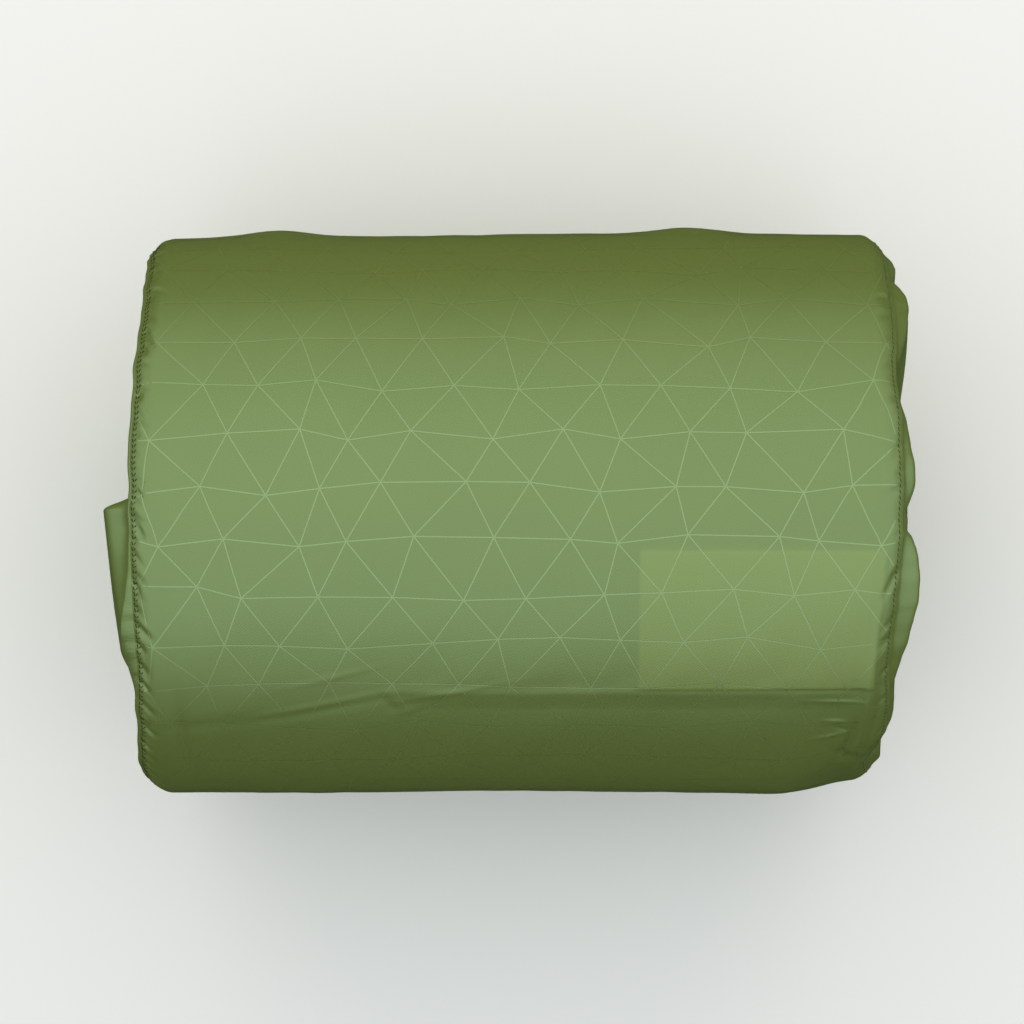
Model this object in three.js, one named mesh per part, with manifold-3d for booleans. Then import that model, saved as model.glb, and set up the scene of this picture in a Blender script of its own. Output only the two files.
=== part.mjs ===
// A self-inflating sleeping pad, folded in half lengthwise, rolled up and packed in its stuff sack.
// Millimetres. The roll lies along X on the plane Z = 0, and the sack's mouth is at the +X end.
import * as THREE from 'three';
import { mergeVertices } from 'three/addons/utils/BufferGeometryUtils.js';
import Module from 'manifold-3d';

const wasm = await Module();
wasm.setup();

// Driving dimensions: the packed bundle, seen along its length, is a slightly flattened oval.
const HALF_WIDTH = 111.5;
const HALF_HEIGHT = 101;
const SAG = 4; // how much of the oval the floor flattens
const WALL_HALF = 145; // half the sack wall's length, seam to seam
const CLOTH = 1.2; // cloth with its doubled coating and folds
const GAP = 0.3; // clearance between pieces that touch
const CENTRE_HEIGHT = HALF_HEIGHT - SAG;
const END_ROUNDING = 8; // length over which the wall turns in towards each seam
const END_TURN_IN = 4.5; // how far the wall has turned in at its seams
const AROUND = 48; // facets round the sack
const ACROSS = 24; // facets round one turn of the roll

// Seams
const THREAD_RADIUS = 0.6;
const SEAM_GAP = 2 * THREAD_RADIUS + 2 * GAP;
const BINDING_WIDTH = 11.5;
const BINDING_THICKNESS = 0.5;
const BINDING_DEPTH = CLOTH + GAP;
const SEAM_ALLOWANCE_WIDTH = 12;
const SEAM_ALLOWANCE_TURN = rad(-48);

// Base panel, with the corner of the repair pouch behind it
const BASE_DOME = 3;
const POUCH_BULGE = 6.5;
const POUCH_TOP = 180;
const POUCH_HEIGHT = 62;
const POUCH_WIDTH = 46;
const POUCH_THICKNESS = 3.4;
const POUCH_WALL = 0.5;
const POUCH_EDGE_Y = 1; // the edge that stands out
const POUCH_SKEW = 5.5; // degrees, about the vertical

// Gathered collar and its drawcord
const COLLAR_PLEATS = 13;
const MOUTH_RADIUS = 24; // centre line of the cord channel
const CHANNEL_RADIUS = 4.6;
const CORD_RADIUS = 1.3;
const CHANNEL_BORE = CORD_RADIUS + 1.6;
const MOUTH_X = WALL_HALF + 4.6;
const EYELET_BORE = 2 * CORD_RADIUS + 0.8;
const EYELET_FLANGE = 6.2;
const CORD_SPACING = 1.6; // half the distance between the two cord ends
const LOCK_RADIUS = 5.7;
const LOCK_X = MOUTH_X + CHANNEL_RADIUS + 2.9;
const LOCK_Z = 58;
const LOCK_LEFT = 9;
const LOCK_RIGHT = 7;
const LOCK_BORE = 4.0;
const BUTTON_TRAVEL = 3.5;
const KNOT_RADIUS = 4.4;
const KNOT_Z = 25;

// The pad's layers, and how they are rolled
const CARD_THICKNESS = 0.4; // a card lies between the roll and the wall
const SHEET = 0.8;
const FOAM = 6.1;
const LEG = SHEET + GAP + FOAM + GAP + SHEET;
const FOLD_GAP = 0.5;
const TURN_GAP = 0.5;
const PITCH = 2 * LEG + FOLD_GAP + TURN_GAP;
const ROLL_HALF = WALL_HALF - 4.5;
const CORE_HALF_HEIGHT = 9; // the least that stays open in the roll's middle
const ROLL_DEPTH = BINDING_DEPTH + BINDING_THICKNESS + CARD_THICKNESS + 2 * GAP;
const ROLL_END = rad(129); // where the pad's outer end lies
const STEP_FACETS = 3; // facets in which the next layer climbs over the end
const WHOLE_TURNS = Math.floor((HALF_HEIGHT - CORE_HALF_HEIGHT - ROLL_DEPTH) / PITCH);
const FACETS_WOUND = WHOLE_TURNS * ACROSS - STEP_FACETS;

// Card, laid between the roll and the wall
const CARD_LENGTH = 92;
const CARD_TO_X = WALL_HALF - 6;
const CARD_FROM_TURN = rad(97);
const CARD_TO_TURN = rad(127);

// Valves, in the outer sheet of the outer turn
const VALVES = [
  { name: 'inflation_valve', x: WALL_HALF - 76, checked: true },
  { name: 'deflation_valve', x: 52 - WALL_HALF, checked: false },
];
const VALVE_BORE = 8.4;
const VALVE_NECK = 12;
const VALVE_FLANGE = 16;
const VALVE_CLEARANCE = 0.4;
const FLANGE_THICKNESS = 0.9;
const VALVE_FLOOR = HALF_WIDTH - ROLL_DEPTH - SHEET - FOAM - GAP;

function rad(degrees) {
  return THREE.MathUtils.degToRad(degrees);
}

function smooth(value, low, high) {
  return THREE.MathUtils.smoothstep(value, low, high);
}

// The bundle's outline at a depth below its skin. Turn 0 is the +Y side and a quarter turn the top.
function outline(depth, turn) {
  const y = (HALF_WIDTH - depth) * Math.cos(turn);
  const z = CENTRE_HEIGHT + (HALF_HEIGHT - depth) * Math.sin(turn);
  return [y, Math.max(z, depth)];
}

// How far the wall has turned in at a place along the roll
function turnIn(x) {
  const past = Math.max(0, Math.abs(x) - (WALL_HALF - END_ROUNDING)) / END_ROUNDING;
  return END_TURN_IN * past * past;
}

// Moves each vertex of a geometry to its place and makes the result closed and outward facing.
function reshaped(geometry, place) {
  const bare = new THREE.BufferGeometry();
  bare.setAttribute('position', geometry.getAttribute('position').clone());
  if (geometry.index) {
    bare.setIndex(geometry.index.clone());
  }
  const position = bare.getAttribute('position');
  for (let i = 0; i < position.count; i += 1) {
    position.setXYZ(i, ...place(position.getX(i), position.getY(i), position.getZ(i)));
  }
  return facingOut(mergeVertices(bare, 1e-4));
}

function facingOut(geometry) {
  const position = geometry.getAttribute('position');
  const order = geometry.index.array;
  const corner = [new THREE.Vector3(), new THREE.Vector3(), new THREE.Vector3()];
  const kept = [];
  let volume = 0;
  for (let i = 0; i < order.length; i += 3) {
    const [a, b, c] = [order[i], order[i + 1], order[i + 2]];
    if (a === b || b === c || c === a) {
      continue;
    }
    [a, b, c].forEach((vertex, k) => corner[k].fromBufferAttribute(position, vertex));
    volume += corner[0].dot(corner[1].clone().cross(corner[2]));
    kept.push(a, b, c);
  }
  if (volume < 0) {
    for (let i = 0; i < kept.length; i += 3) {
      [kept[i + 1], kept[i + 2]] = [kept[i + 2], kept[i + 1]];
    }
  }
  geometry.setIndex(kept);
  return geometry;
}

function manifold(geometry) {
  const bare = reshaped(geometry, (x, y, z) => [x, y, z]);
  return new wasm.Manifold(new wasm.Mesh({
    numProp: 3,
    vertProperties: new Float32Array(bare.getAttribute('position').array),
    triVerts: new Uint32Array(bare.index.array),
  }));
}

function fromManifold(solid) {
  const mesh = solid.getMesh();
  const geometry = new THREE.BufferGeometry();
  geometry.setAttribute('position', new THREE.BufferAttribute(new Float32Array(mesh.vertProperties), 3));
  geometry.setIndex([...mesh.triVerts]);
  return geometry;
}

function cut(geometry, ...tools) {
  return fromManifold(tools.reduce((rest, tool) => rest.subtract(manifold(tool)), manifold(geometry)));
}

function joined(...geometries) {
  return fromManifold(geometries.map(manifold).reduce((sum, solid) => sum.add(solid)));
}

const pad = new THREE.Group();

function addPiece(name, geometry, colour, roughness, metalness = 0) {
  const material = new THREE.MeshStandardMaterial({ color: colour, roughness, metalness });
  const mesh = new THREE.Mesh(geometry, material);
  mesh.name = name;
  pad.add(mesh);
  return mesh;
}

// A closed band round the bundle. Its profile is a list of [depth, x], in order round the section.
function band(profile) {
  const points = [...profile, profile[0]].map(([depth, x]) => new THREE.Vector2(HALF_WIDTH - depth, x));
  return reshaped(new THREE.LatheGeometry(points, AROUND), (x, y, z) => {
    const depth = HALF_WIDTH - Math.hypot(x, z);
    return [y, ...outline(depth, Math.atan2(z, x))];
  });
}

// A patch of the bundle's skin between two turns and two places along it
function patch(fromX, toX, fromTurn, toTurn, depth, thickness, steps) {
  const box = new THREE.BoxGeometry(toX - fromX, 1, thickness, 1, steps, 1);
  return reshaped(box, (x, y, z) => {
    const turn = THREE.MathUtils.lerp(fromTurn, toTurn, y + 0.5);
    return [(fromX + toX) / 2 + x, ...outline(depth + thickness / 2 + z, turn)];
  });
}

// A ring of thread that follows the wall's end
function seamThread(x) {
  const ring = new THREE.TorusGeometry(HALF_WIDTH, THREAD_RADIUS, 5, AROUND);
  const depth = END_TURN_IN + CLOTH / 2;
  return reshaped(ring, (y, z, along) => {
    const out = Math.hypot(y, z) - HALF_WIDTH;
    return [x + along, ...outline(depth - out, Math.atan2(z, y))];
  });
}

function wallProfile() {
  const stations = [];
  for (let i = 0; i <= 3; i += 1) {
    stations.push(WALL_HALF - END_ROUNDING * (i / 3) ** 1.5);
  }
  const line = [...stations.map((x) => -x), ...stations.reverse()];
  const outer = line.map((x) => [turnIn(x), x]);
  const inner = line.map((x) => [turnIn(x) + CLOTH, x]).reverse();
  return [...outer, ...inner];
}

// A disc that fills the wall's end. Its profile is a list of [share of the rim's radius, layer].
function endPanel(profile, around, height) {
  const points = profile.map(([share, layer]) => new THREE.Vector2(share, layer));
  return reshaped(new THREE.LatheGeometry(points, around), (x, layer, z) => {
    const share = Math.hypot(x, z);
    const turn = share > 0 ? Math.atan2(z, x) : 0;
    const [rimY, rimZ] = outline(END_TURN_IN, turn);
    const y = share * rimY;
    const up = CENTRE_HEIGHT + share * (rimZ - CENTRE_HEIGHT);
    return [height(share, turn, y, up, layer), y, up];
  });
}

function layeredProfile(shares) {
  const under = shares.map((share) => [share, 0]);
  const over = shares.map((share) => [share, CLOTH]).reverse();
  return [...under, ...over];
}

// How far the pouch pushes the base panel out: a wedge, steep beyond the pouch's standing edge
function pouchPush(y, z, share) {
  const wedge = smooth(y, POUCH_EDGE_Y - POUCH_WIDTH - 14, POUCH_EDGE_Y)
    * (1 - smooth(y, POUCH_EDGE_Y + 4, POUCH_EDGE_Y + 30));
  const upright = smooth(z, POUCH_TOP - POUCH_HEIGHT - 34, POUCH_TOP - POUCH_HEIGHT + 4);
  return POUCH_BULGE * wedge * upright * (1 - smooth(share, 0.88, 1));
}

function addSack() {
  addPiece('sack_wall', band(wallProfile()), 0x7f8f5c, 0.35);
  const seam = WALL_HALF + SEAM_GAP;
  const baseShares = [0, 0.3, 0.55, 0.75, 0.88, 1];
  const base = endPanel(layeredProfile(baseShares), AROUND, (share, turn, y, z, layer) => (
    -seam - layer - BASE_DOME * (1 - share * share) - pouchPush(y, z, share)
  ));
  addPiece('sack_base', base, 0x7b8a58, 0.4);
  addPiece('base_seam_thread', seamThread(-WALL_HALF - SEAM_GAP / 2), 0x3d4428, 0.8);
  addPiece('collar_seam_thread', seamThread(WALL_HALF + SEAM_GAP / 2), 0xa8b07a, 0.8);
  const bindingOuter = WALL_HALF - END_ROUNDING - GAP;
  const bindingInner = bindingOuter - BINDING_WIDTH;
  const deep = BINDING_DEPTH + BINDING_THICKNESS;
  [['base_seam_binding', -1], ['collar_seam_binding', 1]].forEach(([name, side]) => {
    const ring = band([
      [BINDING_DEPTH, side * bindingInner],
      [BINDING_DEPTH, side * bindingOuter],
      [deep, side * bindingOuter],
      [deep, side * bindingInner],
    ]);
    addPiece(name, ring, 0x6d7a4c, 0.7);
  });
  const half = bindingInner - GAP;
  const turn = SEAM_ALLOWANCE_WIDTH / 2 / HALF_HEIGHT;
  const allowance = patch(-half, half, SEAM_ALLOWANCE_TURN - turn, SEAM_ALLOWANCE_TURN + turn,
    BINDING_DEPTH, BINDING_THICKNESS, 2);
  addPiece('wall_seam_allowance', allowance, 0x6d7a4c, 0.6);
}

// The collar stands proud just inside its seam, and its pleats run down into the cord channel.
function collarHeight(share, turn) {
  const proud = 4.6 * smooth(1 - share, 0, 0.07) - 2.6 * smooth(1 - share, 0.12, 0.5);
  const pleat = 1.3 * smooth(1 - share, 0, 0.1) * Math.sin(COLLAR_PLEATS * turn + 1.1);
  const fade = THREE.MathUtils.lerp(1, 0.45, smooth(1 - share, 0.15, 0.6));
  return WALL_HALF + SEAM_GAP + proud + pleat * fade;
}

function aboutX(geometry, x, y, z) {
  return geometry.clone().rotateZ(-Math.PI / 2).translate(x, y, z);
}

function aboutY(radius, fromY, toY, x, z, segments = 24) {
  const length = toY - fromY;
  return new THREE.CylinderGeometry(radius, radius, length, segments).translate(x, fromY + length / 2, z);
}

function channelRing(radius, sides, around) {
  return new THREE.TorusGeometry(MOUTH_RADIUS, radius, sides, around)
    .rotateY(Math.PI / 2).translate(MOUTH_X, 0, CENTRE_HEIGHT);
}

function addCollar() {
  const inner = (MOUTH_RADIUS + 1) / (HALF_WIDTH - END_TURN_IN);
  const shares = [1, 0.965, 0.93, 0.8, 0.6, 0.4, inner];
  const profile = layeredProfile(shares);
  const sheet = endPanel([...profile, profile[0]], 5 * COLLAR_PLEATS, (share, turn, y, z, layer) => (
    collarHeight(share, turn) + layer
  ));
  const eyeletZ = CENTRE_HEIGHT - MOUTH_RADIUS;
  const bossTop = MOUTH_X + CHANNEL_RADIUS + 0.2;
  const boss = new THREE.CylinderGeometry(EYELET_FLANGE + 0.6, EYELET_FLANGE + 0.6, 6, 20);
  const hole = new THREE.CylinderGeometry(EYELET_BORE + 0.7 + GAP, EYELET_BORE + 0.7 + GAP, 12, 20);
  const body = joined(sheet, channelRing(CHANNEL_RADIUS, 10, 36), aboutX(boss, bossTop - 3, 0, eyeletZ));
  const bored = cut(body, channelRing(CHANNEL_BORE, 8, 36), aboutX(hole, MOUTH_X + 6, 0, eyeletZ));
  addPiece('sack_collar', bored, 0x75844f, 0.4);
  addEyelet(bossTop + GAP, eyeletZ);
}

function addEyelet(x, z) {
  const bore = EYELET_BORE;
  const barrel = bore + 0.7;
  const depth = 2.2;
  const flange = 0.6;
  const section = [
    [bore, flange], [EYELET_FLANGE, flange], [EYELET_FLANGE, 0],
    [barrel, 0], [barrel, -depth], [bore, -depth],
  ];
  const points = [...section, section[0]].map(([r, h]) => new THREE.Vector2(r, h));
  addPiece('cord_eyelet', reshaped(aboutX(new THREE.LatheGeometry(points, 24), x, 0, z),
    (a, b, c) => [a, b, c]), 0x6a6a64, 0.35, 0.9);
}

// The drawcord runs once round its channel, and both ends leave through the eyelet and the lock.
function drawcordRoute() {
  const eyeletZ = CENTRE_HEIGHT - MOUTH_RADIUS;
  const end = [
    [LOCK_X, CORD_SPACING, KNOT_Z + KNOT_RADIUS + GAP],
    [LOCK_X, CORD_SPACING, LOCK_Z - LOCK_RADIUS],
    [LOCK_X, CORD_SPACING, LOCK_Z],
    [LOCK_X, CORD_SPACING, LOCK_Z + LOCK_RADIUS],
    [LOCK_X - 0.3, CORD_SPACING, eyeletZ - 3],
    [LOCK_X - 2, CORD_SPACING, eyeletZ - 0.6],
    [MOUTH_X + 3, CORD_SPACING + 0.1, eyeletZ],
    [MOUTH_X + 0.8, CORD_SPACING + 1.2, eyeletZ],
  ];
  const ring = [];
  const turns = 22;
  for (let i = 0; i <= turns; i += 1) {
    const turn = THREE.MathUtils.lerp(rad(13), rad(347), i / turns) - Math.PI / 2;
    ring.push([MOUTH_X, MOUTH_RADIUS * Math.cos(turn), CENTRE_HEIGHT + MOUTH_RADIUS * Math.sin(turn)]);
  }
  const back = end.map(([x, y, z]) => [x, -y, z]).reverse();
  const points = [...end, ...ring, ...back].map((point) => new THREE.Vector3(...point));
  return new THREE.CatmullRomCurve3(points, false, 'centripetal');
}

function tube(path, radius, steps, curveSegments) {
  const section = new THREE.Shape().absarc(0, 0, radius, 0, 2 * Math.PI);
  const options = { steps, extrudePath: path, curveSegments, bevelEnabled: false };
  return reshaped(new THREE.ExtrudeGeometry(section, options), (x, y, z) => [x, y, z]);
}

class Coil extends THREE.Curve {
  constructor(radius, fromY, toY, turns, x, z) {
    super();
    Object.assign(this, { radius, fromY, toY, turns, x, z });
  }

  getPoint(share) {
    const turn = 2 * Math.PI * this.turns * share;
    const y = THREE.MathUtils.lerp(this.fromY, this.toY, share);
    return new THREE.Vector3(this.x + this.radius * Math.cos(turn), y, this.z + this.radius * Math.sin(turn));
  }
}

function addCordLock() {
  addPiece('drawcord', tube(drawcordRoute(), CORD_RADIUS, 104, 3), 0x24261f, 0.85);
  const slot = CORD_SPACING + CORD_RADIUS + GAP;
  const through = 2 * LOCK_RADIUS + 2;
  const across = 2 * (CORD_RADIUS + GAP);
  const cords = new THREE.BoxGeometry(across, 2 * slot, through).translate(LOCK_X, 0, LOCK_Z);
  const floor = -LOCK_LEFT + 1.4;
  const barrel = cut(
    aboutY(LOCK_RADIUS, -LOCK_LEFT, LOCK_RIGHT, LOCK_X, LOCK_Z),
    aboutY(LOCK_BORE, floor, LOCK_RIGHT + 1, LOCK_X, LOCK_Z),
    cords,
  );
  addPiece('cord_lock_barrel', barrel, 0x1f211d, 0.5);
  const stem = LOCK_BORE - GAP;
  const foot = -slot - 0.6;
  const headFrom = LOCK_RIGHT + BUTTON_TRAVEL + GAP;
  const window = new THREE.BoxGeometry(across, 2 * slot + BUTTON_TRAVEL, through)
    .translate(LOCK_X, BUTTON_TRAVEL / 2, LOCK_Z);
  const body = joined(
    aboutY(stem, foot, headFrom + 1, LOCK_X, LOCK_Z),
    aboutY(LOCK_RADIUS - 1, headFrom, headFrom + 2.4, LOCK_X, LOCK_Z),
  );
  addPiece('cord_lock_button', cut(body, window), 0x2a2c27, 0.5);
  const coil = new Coil(2.9, floor + 0.7, foot - 0.7, 3, LOCK_X, LOCK_Z);
  addPiece('cord_lock_spring', tube(coil, 0.35, 36, 3), 0xb8b8b4, 0.3, 1);
  const knot = new THREE.SphereGeometry(KNOT_RADIUS, 14, 10).translate(LOCK_X, 0, KNOT_Z);
  addPiece('cord_knot', reshaped(knot, (x, y, z) => [x, y, z]), 0x24261f, 0.85);
}

// Depth of the roll's outer face after some turns: each turn keeps its depth, then steps under the last.
function rollDepth(turns) {
  const whole = Math.floor(turns + 1e-9);
  return ROLL_DEPTH + PITCH * (whole + smooth(turns - whole, 1 - STEP_FACETS / ACROSS, 1));
}

// One layer of the folded pad: a U across the roll, folded at the -X end, wound from the outside in.
function foldedLayer(inset, thickness, edge) {
  const from = -ROLL_HALF + inset;
  const to = ROLL_HALF - edge;
  const whole = 2 * LEG + FOLD_GAP;
  const corners = [
    [to, inset], [from, inset], [from, whole - inset], [to, whole - inset],
    [to, whole - inset - thickness], [from + thickness, whole - inset - thickness],
    [from + thickness, inset + thickness], [to, inset + thickness],
  ];
  const section = new THREE.Shape(corners.map(([x, depth]) => new THREE.Vector2(x, depth)));
  const length = { depth: FACETS_WOUND / ACROSS, steps: FACETS_WOUND, bevelEnabled: false };
  const strip = new THREE.ExtrudeGeometry(section, length);
  return reshaped(strip, (x, depth, turns) => (
    [x, ...outline(rollDepth(turns) + depth, ROLL_END - 2 * Math.PI * turns)]
  ));
}

function addPad() {
  const outer = HALF_WIDTH + 1;
  const necks = VALVES.map(({ x }) => (
    aboutY(VALVE_NECK + VALVE_CLEARANCE, VALVE_FLOOR, outer, x, CENTRE_HEIGHT)));
  const pockets = VALVES.map(({ x }) => (
    aboutY(VALVE_FLANGE + VALVE_CLEARANCE, VALVE_FLOOR - GAP / 2, outer, x, CENTRE_HEIGHT)));
  const lower = foldedLayer(0, SHEET, 0);
  const foam = foldedLayer(SHEET + GAP, FOAM, 5);
  const upper = foldedLayer(SHEET + FOAM + 2 * GAP, SHEET, 0);
  addPiece('pad_lower_sheet', cut(lower, ...necks), 0x3b4148, 0.6);
  addPiece('pad_foam_core', cut(foam, ...pockets), 0xe2dcc6, 0.9);
  addPiece('pad_upper_sheet', upper, 0x6f7f4f, 0.6);
}

// The lowest that the outer sheet's inner face comes over a disc of this radius at the +Y side
function underSheet(radius) {
  const depth = ROLL_DEPTH + SHEET;
  const facetSag = 1 - Math.cos(Math.PI / ACROSS);
  const share = Math.sqrt(1 - (radius / (HALF_HEIGHT - depth)) ** 2);
  return (HALF_WIDTH - depth) * (share - facetSag);
}

// A flat screw valve, turned about Y, with its flange under the pad's outer sheet
function addValve({ name, x, checked }) {
  const floor = VALVE_FLOOR + GAP;
  const flangeTop = underSheet(VALVE_FLANGE) - GAP;
  const neckTop = HALF_WIDTH - ROLL_DEPTH - SHEET / 2;
  const ledge = VALVE_BORE - 2;
  const profile = [
    [ledge, floor], [VALVE_NECK + 1, floor],
    [VALVE_NECK + 1, flangeTop - FLANGE_THICKNESS], [VALVE_FLANGE, flangeTop - FLANGE_THICKNESS],
    [VALVE_FLANGE, flangeTop], [VALVE_NECK, flangeTop], [VALVE_NECK, neckTop], [VALVE_BORE, neckTop],
    [VALVE_BORE, floor + 0.8], [ledge, floor + 0.8],
  ];
  const points = [...profile, profile[0]].map(([r, y]) => new THREE.Vector2(r, y));
  const body = new THREE.LatheGeometry(points, 28).translate(x, 0, CENTRE_HEIGHT);
  addPiece(`${name}_body`, reshaped(body, (a, b, c) => [a, b, c]), 0x202428, 0.5);
  if (checked) {
    const flap = aboutY(VALVE_BORE - GAP, floor + 0.8 + GAP, floor + 1.3 + GAP, x, CENTRE_HEIGHT);
    addPiece(`${name}_flap`, reshaped(flap, (a, b, c) => [a, b, c]), 0xd0d0c8, 0.7);
  }
  const headFrom = neckTop + GAP;
  const cap = joined(
    aboutY(VALVE_NECK - 0.5, headFrom, headFrom + 0.8, x, CENTRE_HEIGHT),
    aboutY(VALVE_BORE - GAP, floor + 2.6, headFrom + 0.4, x, CENTRE_HEIGHT),
  );
  addPiece(`${name}_cap`, cap, 0x2b3036, 0.5);
}

// The repair pouch stands skewed between the roll's folded end and the base panel.
function addRepairPouch() {
  const group = new THREE.Group();
  group.rotation.z = rad(POUCH_SKEW);
  const middleY = POUCH_EDGE_Y - POUCH_WIDTH / 2;
  group.position.set(-WALL_HALF - 1.9, middleY, POUCH_TOP - POUCH_HEIGHT / 2);
  const inside = new THREE.BoxGeometry(
    POUCH_THICKNESS - 2 * POUCH_WALL, POUCH_WIDTH - 2 * POUCH_WALL, POUCH_HEIGHT,
  ).translate(0, 0, POUCH_WALL);
  const shell = cut(new THREE.BoxGeometry(POUCH_THICKNESS, POUCH_WIDTH, POUCH_HEIGHT), inside);
  const room = POUCH_THICKNESS - 2 * POUCH_WALL - 3 * GAP;
  const flat = room / 2;
  const patches = new THREE.BoxGeometry(flat, POUCH_WIDTH - 6, POUCH_HEIGHT - 10);
  patches.translate(-(flat + GAP) / 2, 0, 0);
  const wipe = new THREE.BoxGeometry(flat, POUCH_WIDTH - 8, POUCH_HEIGHT - 14);
  wipe.translate((flat + GAP) / 2, 0, 0);
  group.add(addPiece('repair_pouch', shell, 0xc9ccc4, 0.3));
  group.add(addPiece('repair_patch_sheet', patches, 0x6f7f4f, 0.5));
  group.add(addPiece('cleaning_wipe', wipe, 0xe6e6e2, 0.4));
  pad.add(group);
}

function addCard() {
  const depth = ROLL_DEPTH - GAP - CARD_THICKNESS;
  const card = patch(CARD_TO_X - CARD_LENGTH, CARD_TO_X, CARD_FROM_TURN, CARD_TO_TURN,
    depth, CARD_THICKNESS, 6);
  addPiece('care_card', card, 0xdfe0d2, 0.7);
}

addSack();
addCollar();
addCordLock();
addPad();
VALVES.forEach(addValve);
addRepairPouch();
addCard();

// The origin is under the middle of the bundle's length.
pad.updateMatrixWorld(true);
const extent = new THREE.Box3().setFromObject(pad, true);
pad.position.x = -(extent.min.x + extent.max.x) / 2;

export default pad;
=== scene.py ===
# %% [markdown]
# # A sleeping pad packed in its stuff sack
# The pad is folded in half, rolled tight and pushed into a thin glossy nylon sack. The sack lies on its side,
# so what shows is mostly cloth: a wall round the roll, a round base panel, and a collar gathered by a cord.
# The solid model gives every size. This script loads it, lays better surfaces over the soft pieces, and adds
# the stitches, the pattern in the weave and the materials.

# %% Load the frame
import math
import bmesh
import bpy
import numpy as np
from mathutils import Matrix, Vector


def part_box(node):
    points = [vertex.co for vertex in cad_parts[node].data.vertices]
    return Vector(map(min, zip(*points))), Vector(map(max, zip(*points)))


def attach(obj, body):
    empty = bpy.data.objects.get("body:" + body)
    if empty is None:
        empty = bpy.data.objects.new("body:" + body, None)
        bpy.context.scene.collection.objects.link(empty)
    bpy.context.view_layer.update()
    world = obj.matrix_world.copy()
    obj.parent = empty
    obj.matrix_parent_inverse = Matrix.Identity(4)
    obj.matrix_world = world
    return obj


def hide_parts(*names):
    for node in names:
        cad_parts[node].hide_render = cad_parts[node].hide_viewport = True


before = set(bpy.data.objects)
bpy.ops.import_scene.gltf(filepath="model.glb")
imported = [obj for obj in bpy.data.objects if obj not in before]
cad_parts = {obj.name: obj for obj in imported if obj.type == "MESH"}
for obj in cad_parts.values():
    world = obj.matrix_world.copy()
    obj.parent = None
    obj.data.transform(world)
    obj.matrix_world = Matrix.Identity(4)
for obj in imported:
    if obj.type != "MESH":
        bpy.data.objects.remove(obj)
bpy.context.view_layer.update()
MM = 0.001
print("nodes", len(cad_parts))


def box_corners(node):
    """The low and the high corner of a node's box."""
    return [np.array(corner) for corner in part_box(node)]


def add_object(name, data):
    """An object that shows a mesh, a lamp or a camera."""
    piece = bpy.data.objects.new(name, data)
    bpy.context.scene.collection.objects.link(piece)
    return piece


# %% [markdown]
# ## The camera first
# The bundle is seen from straight above, from about 1.3 m over its middle, so that the rims of both ends
# look a little wider apart at the top of the roll than at its sides. A long lens does this.

# %% Camera
wall_low, wall_high = box_corners("sack_wall")
VIEW_DISTANCE = 1.3
VIEW_WIDTH = 0.4096
SENSOR_WIDTH = 36.0
camera_data = bpy.data.cameras.new("camera")
camera_data.sensor_width = SENSOR_WIDTH
camera_data.lens = SENSOR_WIDTH * VIEW_DISTANCE / VIEW_WIDTH
camera = add_object("camera", camera_data)
middle_x = (wall_low[0] + wall_high[0]) / 2
camera.location = (middle_x - 0.4 * MM, 1 * MM, wall_high[2] / 2 + VIEW_DISTANCE)
bpy.context.scene.camera = camera
print("lens", round(camera_data.lens, 1))

# %% [markdown]
# ## The bundle's section
# Seen along its length the bundle is an oval that the floor flattens. A point of its skin is found from two
# numbers: how deep it lies under the skin, and its turn, the angle round the section from the +Y side.
# Arc length along the skin is worked out once, so that the weave and the pattern keep their size all round.

# %% Section of the bundle
SAG = 4 * MM
HALF_WIDTH = (wall_high[1] - wall_low[1]) / 2
HALF_HEIGHT = (wall_high[2] + SAG) / 2
CENTRE = wall_high[2] - HALF_HEIGHT
LEFT, RIGHT = wall_low[0], wall_high[0]
TURN_IN = 4.5 * MM
ROUNDING = 8 * MM


def outline(depth, turn):
    """y and z of the skin: an ellipse whose half axes shrink by depth, held up at z = depth by the floor."""
    y = (HALF_WIDTH - depth) * np.cos(turn)
    z = CENTRE + (HALF_HEIGHT - depth) * np.sin(turn)
    return y, np.maximum(z, depth)


fine_turns = np.linspace(-math.pi / 2, 1.5 * math.pi, 4001)
fine_y, fine_z = outline(0.0, fine_turns)
fine_arc = np.concatenate([[0], np.cumsum(np.hypot(np.diff(fine_y), np.diff(fine_z)))])
GIRTH = fine_arc[-1]


def arc_at(turn):
    """Arc length from the underside's middle to a turn."""
    return np.interp(turn, fine_turns, fine_arc)


print("girth", round(GIRTH, 4), "length", round(RIGHT - LEFT, 4))

# %% [markdown]
# ## Meshes from grids
# Every cloth piece is a grid of points that a formula fills. This helper turns such a grid into a mesh of
# quads with whole arrays, closes it round if asked, and gives it a UV map in metres.

# %% Grid helper
def smooth(value, low, high):
    """0 below low, 1 above high, and the cubic 3t^2 - 2t^3 in between."""
    t = np.clip((value - low) / (high - low), 0, 1)
    return t * t * (3 - 2 * t)


def finish_mesh(name, mesh, material, merge=0.0):
    """Links the mesh as an object. Optionally merges doubled points and turns the faces outwards."""
    if merge > 0:
        work = bmesh.new()
        work.from_mesh(mesh)
        bmesh.ops.remove_doubles(work, verts=work.verts, dist=merge)
        bmesh.ops.recalc_face_normals(work, faces=work.faces)
        work.to_mesh(mesh)
        work.free()
    mesh.polygons.foreach_set("use_smooth", np.ones(len(mesh.polygons), dtype=bool))
    mesh.materials.append(material)
    return add_object(name, mesh)


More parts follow.
